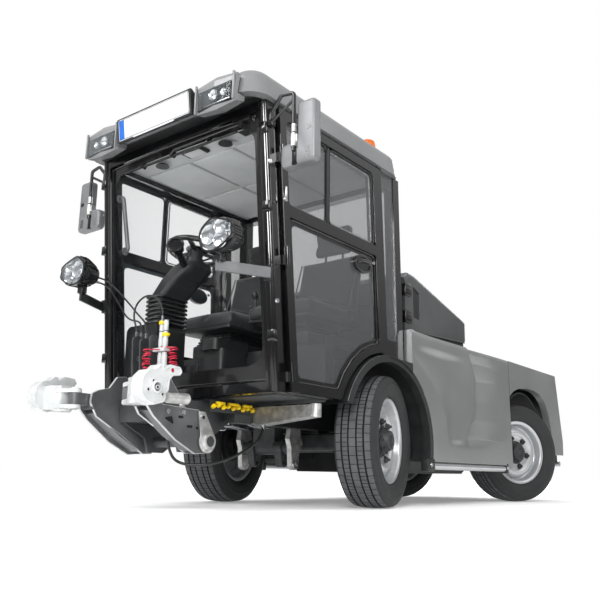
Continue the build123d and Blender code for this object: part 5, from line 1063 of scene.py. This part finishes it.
class CARRIER_OT_seats(bpy.types.Operator):
    """Two padded seats whose covers are blown up by simulation, with piping and pedestals"""

    bl_idname = "carrier.seats"
    bl_label = "Seats"

    def execute(self, context):
        pads = build("left_seat_pads", "seat_cloth", *(
            (slab, rounded(at_x(SEAT_X - half, outline), corner), X * 2 * half, 22)
            for outline, half, corner in SEAT_SIDES), smooth=180)
        swell(context, pads)
        copy = pads.data.copy()
        copy.transform(Matrix.Translation(X * -2 * SEAT_X * MM))
        other = bpy.data.objects.new("right_seat_pads", copy)
        context.scene.collection.objects.link(other)
        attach(other, "machine")
        for piece in (pads, other):
            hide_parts("seats")
        piping, pedestals = [], []
        for x in (-SEAT_X, SEAT_X):
            for side in (-1, 1):
                edge, seam = x + side * 205, x + side * 202
                piping += [
                    (tube, [(edge, -1100, 1034), (edge + side, -900, 1041), (edge, -706, 1027)],
                     4, 0, 2),
                    (tube, at_x(seam, ((-750, 1052), (-700, 1210), (-650, 1366))), 4, 0, 2),
                ]
                stay, ear = x + side * 60, x + side * 190
                pedestals += [
                    (rod, (stay, -608, 1350), (stay, -606, 1420), 7),
                    (box, (ear - 14, -742, 950), (ear + 14, -690, 1040), 8),
                ]
            piping += [(tube, [(x - 150, y, 1037), (x, y, 1040.5), (x + 150, y, 1037)], 2.6, 0, 1)
                       for y in (-1010, -900, -790)]
            pedestals += [
                (box, (x - 150, -1045, 794), (x + 150, -715, 872), 14),
                (box, (x - 205, -1112, 936), (x + 205, -690, 953), 8),
                *((box, (x - 132 + 5 * k, -1030 + 6 * k, 868 + 17 * k),
                   (x + 132 - 5 * k, -730 - 6 * k, 882 + 17 * k), 5) for k in range(4)),
            ]
        build("seat_piping", "seat_piping", *piping)
        build("seat_pedestals", "black_plastic", *pedestals)
        return {"FINISHED"}


# ---------------------------------------------------------------- lift arms and coupler heads
PIVOT = Vector((0, -1552, 300))
OUTER_CHEEK = [
    (-346, 200), (-352, 138), (-310, 92), (-180, -1), (-64, -56), (14, -50), (50, -10),
    (30, 60), (-52, 137), (-270, 146), (-296, 205),
]
INNER_CHEEK = [
    (-358, 164), (-353, 207), (-319, 223), (-260, 238), (-219, 293), (-170, 300),
    (-140, 256), (-88, 200), (-40, 130), (34, 50), (46, -14), (10, -50), (-42, -53),
    (-188, 35), (-320, 104),
]
LUG_BOLT = PIVOT + Vector((0, -42, 104))
LUG_FACE = 249
SWING = Vector((188, -1962, 0))
HEAD = Vector((391, -1990, 492))
HEAD_MARK = Vector((391, -1915, 566))
HEAD_PIN = Vector((404, -1944, 452))
HOOK_LINE = [
    (-81, 0), (-74, 40), (-46, 66), (-10, 72), (12, 92), (27, 93), (33, 76), (66, 98),
    (118, 94), (132, 74), (120, 58), (84, 54), (66, 34), (62, -8), (43, -57), (-12, -72),
    (-54, -58), (-77, -28),
]
HEAD_SOCKETS = [HEAD + Vector((0, y, z)) for y, z in ((-20, 22), (3, -1), (30, -27), (-44, -14))]


def cheek_edge_highlight(mesh, outline, radius, low, high):
    """A painted highlight along the edge of one of an arm's cheek plates."""
    band(mesh, rounded([PIVOT + p for p in at_x(0, outline)], radius), low, high)


class CARRIER_OT_arms(bpy.types.Operator):
    """Painted highlights along the cheek edges, painted shade in the bores and slots, silver lug
    plates, pivot collars and pins of the lift arms
    """

    bl_idname = "carrier.arms"
    bl_label = "Lift arms"

    def execute(self, context):
        # The pale strips on the cheek edges are painted highlights.
        twins("arm_edge_highlights", "lift_arm", "cut_edge", (cheek_edge_highlight, OUTER_CHEEK, 14, 224, 236),
              (cheek_edge_highlight, INNER_CHEEK, 12, 140, 152))
        foot = PIVOT + X * 244.2
        lug = [foot + Vector((0, 51 * math.cos(t), 51 * math.sin(t)))
               for t in (math.radians(155 + 230 * k / 40) for k in range(41))]
        lug += [foot + Vector((0, y, 131)) for y in (-23, -61)]
        twins("arm_lug", "lift_arm", "cast_silver", (slab, lug, X * 5, 2.5),
              (lathe, [(0, 24), (0, 40), (9, 38), (17, 33), (17, 24)], PIVOT + X * LUG_FACE, X, 40),
              (rod, LUG_BOLT + X * LUG_FACE, LUG_BOLT + X * 258, 15, 13),
              (rod, (236, -1710, 448), (246, -1710, 448), 13, 10))
        # The bores and slots are dark discs and thin dark sheets: painted shade.
        slots = [rounded(at_x(236.1, ((y - half, z - 6), (y + half, z - 6), (y + half, z + 6),
                                      (y - half, z + 6))), 6, 4)
                 for y, z, half in ((-1656, 361, 17), (-1606, 357, 12), (-1711, 399, 15))]
        slots += [rounded(at_x(236.1, ((-1813, 391), (-1748, 362), (-1762, 399))), 7, 4)]
        twins("arm_bore_shade", "lift_arm", "groove_rubber",
              (rod, PIVOT + X * 246, PIVOT + X * 262, 23.5),
              (rod, LUG_BOLT + X * 256, LUG_BOLT + X * 259, 8),
              *((slab, slot, X * 0.7) for slot in slots))
        # Pins with nuts hold the cross shaft between the two cheeks.
        twins("arm_bolts", "lift_arm", "bright_metal", *(
            row for y, z, radius in ((-1700, 420, 9), (-1858, 470, 8), (-1790, 418, 8))
            for row in ((rod, (152, y, z), (224, y, z), radius),
                        (nut, (224, y, z), (243, y, z), radius + 4))))
        return {"FINISHED"}


class CARRIER_OT_heads(bpy.types.Operator):
    """Raised rims, painted shade in the sockets and round the mark, rings and pins of the white
    coupler heads
    """

    bl_idname = "carrier.heads"
    bl_label = "Coupler heads"

    def execute(self, context):
        hook = [HEAD + X * 0.2 + p for p in at_x(0, inset(HOOK_LINE, 4.6))]
        twins("head_rims", "coupler", "cast_white", (hoop, rounded(hook, 6, 4), 4.2),
              *((lathe, [(-2, 6), (-2, 10), (3, 9), (3, 6)], spot, X, 20)
                for spot in HEAD_SOCKETS),
              (lathe, [(0, 18.4), (0, 28), (5, 27), (8, 23), (8, 18.4)], HEAD - X * 0.4, X, 36),
              (lathe, [(0, 9), (0, 19), (5, 18), (5, 9)], HEAD_MARK, X, 32),
              *((lathe, [(0, 16.4), (0, 25), (4, 24), (4, 16.4)], SWING + Z * z, Z, 32)
                for z in (431.5, 520.5)))
        # The dark discs in the sockets and round the red mark are painted shade.
        twins("head_socket_shade", "coupler", "groove_rubber",
              *((rod, spot - X * 0.5, spot + X * 0.8, 6) for spot in HEAD_SOCKETS),
              (rod, HEAD_MARK, HEAD_MARK + X * 1.5, 9.5))
        twins("head_mark", "coupler", "hose_red",
              (rod, HEAD_MARK + X * 0.5, HEAD_MARK + X * 3.5, 8, 7))
        twins("head_block", "coupler", "cast_silver",
              (rod, HEAD_PIN, HEAD_PIN + Vector((0, 106, 4)), 21, 23),
              (box, (388, -1930, 438), (404, -1850, 470), 4),
              *((nut, spot, spot + Y * 6, 4)
                for spot in oval(HEAD_PIN + Vector((0, 105, 4)), X * 15, Z * 15, 6)))
        return {"FINISHED"}


# ---------------------------------------------------------------- nose and underside
LUG_EYE = Vector((566.2, -1170, 455))


class CARRIER_OT_nose(bpy.types.Operator):
    """Valve block with its yellow caps and pipes, hanger bolts and outrigger lugs"""

    bl_idname = "carrier.nose"
    bl_label = "Nose and underside"

    def execute(self, context):
        ports = range(-120, 121, 40)
        build("valve_block", "black_plastic", (box, (-149, -1214, 428), (149, -1152, 482), 6),
              *((nut, (x, -1214, 452), (x, -1222, 452), 13) for x in ports),
              *((box, (x - 12, -1210, 396), (x + 12, -1156, 430), 3) for x in (-60, 60)))
        build("yellow_port_caps", "cap_yellow",
              *((lathe, [(0, 0), (0, 10), (12, 11), (19, 9), (21, 5), (21, 0)],
                 (203, y, 462 + 7 * (k % 2)), (1, 0, 0.35), 20)
                for k, y in enumerate(range(-1488, -1204, 34))),
              *((box, (204, y, 476), (222, y + length, 489), 4)
                for y, length in ((-1470, 52), (-1392, 70), (-1290, 64))))
        build("port_strip", "black_plastic", (box, (200.4, -1506, 440), (206, -1206, 496), 3))
        pipes = []
        for k, x in enumerate(ports):
            drop = 388 - 8 * (k % 3)
            pipes.append((tube, [
                (x, -1222, 452), (x, -1250, 452), (x, -1262, drop), (x * 0.8, -1330, drop),
                (x * 0.7, -1500, drop + 6), (x * 0.6, -1628, drop + 10)], 5.5, 22, 2))
        for x in (-110, -70, 70, 110):
            pipes.append((tube, [
                (x, -1152, 446), (x, -1110, 446), (x * 0.9, -1080, 410), (x * 0.9, -940, 396)],
                7, 26, 3))
        build("rigid_pipes", "bright_metal", *pipes)
        build("hanger_bolts_and_lug_rings", "bright_metal",
              *((nut, (200.5, y, z), (207, y, z), 11) for y in (-872, -818) for z in (420, 458)),
              (lathe, [(0, 13.4), (0, 24), (6, 22), (6, 13.4)], (190, -845, 215), X, 32),
              (ring, oval(LUG_EYE, Y * 26, Z * 26), oval(LUG_EYE, Y * 10.2, Z * 10.2), X * 1.5),
              mirror=True)
        return {"FINISHED"}


# ---------------------------------------------------------------- hood
class CARRIER_OT_hood(bpy.types.Operator):
    """Latch covers, painted shade in a side recess, rubber strip, the hood's seam and painted
    highlights along its edges
    """

    bl_idname = "carrier.hood"
    bl_label = "Hood"

    def execute(self, context):
        # The hood's side recess is a thin black sheet: painted shade.
        recess = at_x(497.4, ((-104, 1103), (-24, 1095), (-24, 1260), (-104, 1292)))
        build("hood_latches_and_recess_shade", "black_gloss",
              *(row for z in (1259, 1095) for row in (
                  (box, (488, -217.5, z - 42), (517, -140, z + 36), 6, 3),
                  (box, (506, -205, z - 14), (519, -152, z + 10), 4))),
              (slab, rounded(recess, 8, 4), X * 0.8),
              (tube, [(504.6, -206, 1006), (504.6, 592, 1047)], 3.2, 0, 1),
              body="engine_hood", mirror=True)
        # The lighter bead along the hood's top and rear edges is a painted highlight.
        edge = [(496, -206, 1330), (493, -156, 1366), (493, -84, 1360), (493, 596, 1192),
                (500, 598, 1150), (502, 592, 1060)]
        build("hood_edge_highlights", "mirror_shell", (tube, edge, 7, 16, 3), body="engine_hood",
              mirror=True)
        return {"FINISHED"}


# ---------------------------------------------------------------- body trims
# The raised fold and the edge of the front flare on the moulded sides, as (z, y) points.
CREASE = [(243, 200), (395, 268), (520, 358), (640, 416), (769, 434), (880, 372), (977, 318)]
FLARE_EDGE = [(243, 60), (373, 42), (545, 4), (662, -114), (750, -253), (820, -372), (977, -400)]
PANEL_STEP = 15
PANEL_SKIN_X = 597  # points further out than this are the side's outer skin
HOLLOW, TOP_ROLL = 26, 7  # depth ahead of the fold; how far the top edge rolls in


def along(line, z):
    """The y of a boundary line, given as (z, y) points, at a height."""
    for (z0, y0), (z1, y1) in zip(line, line[1:]):
        if z <= z1:
            return y0 + (y1 - y0) * max(0.0, (z - z0) / (z1 - z0))
    return line[-1][1]


def ease(value, low, high):
    """Rises smoothly from 0 at low to 1 at high."""
    t = min(1.0, max(0.0, (value - low) / (high - low)))
    return t * t * (3 - 2 * t)


def panel_hollow(y, z):
    """How far the moulded side sinks behind its widest plane."""
    edge, crease = along(FLARE_EDGE, z), along(CREASE, z)
    t = (y - edge) / max(60, crease - edge)
    hollow = HOLLOW * math.sin(math.pi * t**0.75) ** 1.2 if 0 < t < 1 else 0.0
    hollow *= ease(z, 345, 382) * (1 - 0.55 * ease(z, 845, 905))
    if y > crease:
        fall = ease(y, crease, crease + 44) * (1 - ease(y, crease + 44, crease + 420))
        hollow += (7 + 17 * (1 - ease(z, 520, 860))) * fall * ease(z, 335, 425)
    return hollow + TOP_ROLL * ease(z, 938, 966) ** 2


class CARRIER_OT_trims(bpy.types.Operator):
    """Moulded sides, painted highlights along the arch edges, sill brackets and body screws"""

    bl_idname = "carrier.trims"
    bl_label = "Body trims"

    def execute(self, context):
        mesh = bmesh.new()
        mesh.from_mesh(NODES["side_panels"].data)
        bmesh.ops.remove_doubles(mesh, verts=mesh.verts, dist=WELD)
        for way, stops in ((Y, range(-380, 980, PANEL_STEP)), (Z, range(256, 964, PANEL_STEP))):
            for stop in stops:
                bmesh.ops.bisect_plane(
                    mesh, geom=mesh.verts[:] + mesh.edges[:] + mesh.faces[:],
                    plane_co=way * stop * MM, plane_no=way, dist=0.00001,
                )
        for vertex in mesh.verts:
            x, y, z = vertex.co / MM
            if abs(x) > PANEL_SKIN_X:
                vertex.co.x -= math.copysign(panel_hollow(y, z) * MM, x)
        sides = finish_piece("moulded_side_panels", mesh, "machine", "panel", smooth=32)
        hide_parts("side_panels")
        # The pale bead along each arch edge is a painted highlight.
        arc = [(640, -605 + 437 * math.cos(a), 343 + 437 * math.sin(a))
               for a in (math.radians(157.5 - 166 * k / 60) for k in range(61))]
        build("arch_edge_highlights", "cut_edge", (tube, arc, 3.4, 0, 2), mirror=True)
        build("sill_brackets", "black_plastic", (box, (598, -238, 190), (648, -152, 262), 8),
              (box, (598, 868, 192), (646, 900, 258), 6), mirror=True)
        build("sill_bolts", "bright_metal", *(
            row for y in (-196, 884) for row in ((rod, (646, y, 226), (650, y, 226), 13, 11),
                                                 (nut, (650, y, 226), (653, y, 226), 7))),
              mirror=True)
        return {"FINISHED"}


# ---------------------------------------------------------------- studio
EYE = Vector((2.599, -3.893, 0.157))  # metres
YAW, PITCH, ROLL = 38.12, 13.70, 0.82  # degrees
SENSOR = 36
FOCAL = 721 / 600 * SENSOR
SOFTBOXES = [  # name, place, target, size in metres, watts
    ("key_softbox", (-1.2, -5.6, 4.4), (0, -1.0, 0.9), (2.6, 2.0), 150),
    ("side_softbox", (3.2, -5.4, 2.6), (0.6, 0.4, 0.6), (1.2, 1.6), 190),
    ("fill_softbox", (5.6, 1.6, 3.6), (0.4, 0.6, 0.6), (2.4, 2.0), 30),
    ("back_softbox", (-1.5, 5.5, 4.2), (0, 0.6, 0.8), (3.0, 2.0), 110),
]


def link_new(name, data):
    """A new object in the scene."""
    made = bpy.data.objects.new(name, data)
    bpy.context.scene.collection.objects.link(made)
    return made


def studio_floor(glow_low):
    """White paper: matt near the wheels, as bright as the backdrop further out."""
    material, tree, shader = new_material(
        "white_studio_floor", base_color=linear("#FAFAFA"), roughness=0.95,
        specular_ior_level=0.0, emission_color=linear("#FFFFFF"),
    )
    place = add_node(tree, "ShaderNodeTexCoord")
    far = add_node(
        tree, "ShaderNodeVectorMath", {0: place.outputs["Object"], 1: (0.0, 0.0, 0.0)},
        operation="DISTANCE",
    )
    fade = add_node(
        tree, "ShaderNodeMapRange",
        {"Value": far.outputs["Value"], "From Min": 2.3, "From Max": 3.6},
        interpolation_type="SMOOTHSTEP",
    )
    rays = add_node(tree, "ShaderNodeLightPath")
    glow = add_node(
        tree, "ShaderNodeMath",
        {0: fade.outputs["Result"], 1: rays.outputs["Is Camera Ray"]}, operation="MULTIPLY",
    )
    glow = add_node(
        tree, "ShaderNodeMapRange", {"Value": glow.outputs[0], "To Min": glow_low, "To Max": 1.2}
    )
    tree.links.new(glow.outputs["Result"], shader.inputs["Emission Strength"])
    mesh = bmesh.new()
    bmesh.ops.create_grid(mesh, x_segments=1, y_segments=1, size=60)
    data = bpy.data.meshes.new("studio_floor")
    mesh.to_mesh(data)
    mesh.free()
    data.materials.append(material)
    link_new("studio_floor", data)


def studio_world():
    """A soft ceiling, dim at the walls so that form is readable; white where it is seen."""
    world = bpy.data.worlds.new("white_studio")
    world.use_nodes = True
    tree = world.node_tree
    tree.nodes.clear()
    rays = add_node(tree, "ShaderNodeLightPath")
    seen = add_node(
        tree, "ShaderNodeMath",
        {0: rays.outputs["Is Camera Ray"], 1: rays.outputs["Is Transmission Ray"]},
        operation="MAXIMUM",
    )
    way = add_node(tree, "ShaderNodeTexCoord")
    height = add_node(tree, "ShaderNodeSeparateXYZ", {0: way.outputs["Generated"]})
    ceiling = add_node(
        tree, "ShaderNodeMapRange",
        {"Value": height.outputs["Z"], "From Min": -0.05, "From Max": 0.8, "To Min": 0.12,
         "To Max": 0.95},
        interpolation_type="SMOOTHSTEP",
    )
    level = add_node(
        tree, "ShaderNodeMix", {0: seen.outputs[0], 2: ceiling.outputs["Result"], 3: 1.0}
    )
    back = add_node(
        tree, "ShaderNodeBackground",
        {"Color": linear("#FFFFFF"), "Strength": level.outputs[0]},
    )
    add_node(tree, "ShaderNodeOutputWorld", {"Surface": back.outputs[0]})
    return world


class CARRIER_OT_stage(bpy.types.Operator):
    """Sets the pale floor, the soft lamps, the world and the camera"""

    bl_idname = "carrier.stage"
    bl_label = "Studio"

    def execute(self, context):
        scene = context.scene
        scene.view_settings.view_transform = "Standard"
        studio_floor(scene.carrier_paint.floor_glow)
        scene.world = studio_world()
        for name, place, target, size, power in SOFTBOXES:
            data = bpy.data.lights.new(name, "AREA")
            data.shape = "RECTANGLE"
            data.size, data.size_y = size
            data.energy = power
            lamp = link_new(name, data)
            lamp.location = place
            aim = Vector(target) - Vector(place)
            lamp.rotation_euler = aim.to_track_quat("-Z", "Y").to_euler()
        data = bpy.data.cameras.new("studio_camera")
        data.sensor_width = SENSOR
        data.lens = FOCAL
        data.clip_start = 0.05
        scene.camera = link_new("studio_camera", data)
        scene.camera.matrix_world = (
            Matrix.Translation(EYE) @ Matrix.Rotation(math.radians(YAW), 4, "Z")
            @ Matrix.Rotation(math.radians(90 + PITCH), 4, "X")
            @ Matrix.Rotation(math.radians(ROLL), 4, "Z")
        )
        return {"FINISHED"}


# ---------------------------------------------------------------- settings, panel and run
class CarrierPaint(bpy.types.PropertyGroup):
    """Colours that a customer can choose"""

    floor_glow: bpy.props.FloatProperty(
        name="Floor", description="How far the floor's shadow is lifted", default=0.24,
        subtype="FACTOR",
    )
    screen_tint: bpy.props.FloatProperty(
        name="Screen tint", description="Tint of the windscreen seen face on", default=0.02,
        subtype="FACTOR",
    )
    door_tint: bpy.props.FloatProperty(
        name="Door tint", description="Tint of the side panes seen face on", default=0.42,
        subtype="FACTOR",
    )
    cab_black: bpy.props.StringProperty(
        name="Cab", description="Enamel of the cab frame and doors", default="#101012"
    )
    roof_grey: bpy.props.StringProperty(
        name="Roof", description="Gelcoat of the roof", default="#828384"
    )
    panel_grey: bpy.props.StringProperty(
        name="Panels", description="Paint of the side panels and fenders", default="#9C9E9E"
    )
    hood_grey: bpy.props.StringProperty(
        name="Hood", description="Colour of the engine hood", default="#626364"
    )


class CARRIER_PT_panel(bpy.types.Panel):
    """Lists the steps that dress the machine"""

    bl_label = "Carrier"
    bl_idname = "CARRIER_PT_panel"
    bl_space_type = "VIEW_3D"
    bl_region_type = "UI"
    bl_category = "Carrier"

    def draw(self, context):
        for name in CarrierPaint.__annotations__:
            self.layout.prop(context.scene.carrier_paint, name)
        for step in STEPS:
            self.layout.operator(step.bl_idname)


STEPS = (
    CARRIER_OT_finishes, CARRIER_OT_stage, CARRIER_OT_hoses, CARRIER_OT_wheels,
    CARRIER_OT_glazing, CARRIER_OT_lamps, CARRIER_OT_mirrors, CARRIER_OT_cab, CARRIER_OT_seats,
    CARRIER_OT_arms, CARRIER_OT_heads, CARRIER_OT_nose, CARRIER_OT_hood, CARRIER_OT_trims,
)
CLASSES = (CarrierPaint, *STEPS, CARRIER_PT_panel)


def register():
    """Adds the classes and the scene's settings."""
    for kind in CLASSES:
        bpy.utils.register_class(kind)
    bpy.types.Scene.carrier_paint = bpy.props.PointerProperty(type=CarrierPaint)


def unregister():
    """Removes the classes and the scene's settings."""
    del bpy.types.Scene.carrier_paint
    for kind in reversed(CLASSES):
        bpy.utils.unregister_class(kind)


def main():
    """Dresses the machine."""
    register()
    for step in STEPS:
        group, name = step.bl_idname.split(".")
        getattr(getattr(bpy.ops, group), name)()


if __name__ == "__main__":
    main()
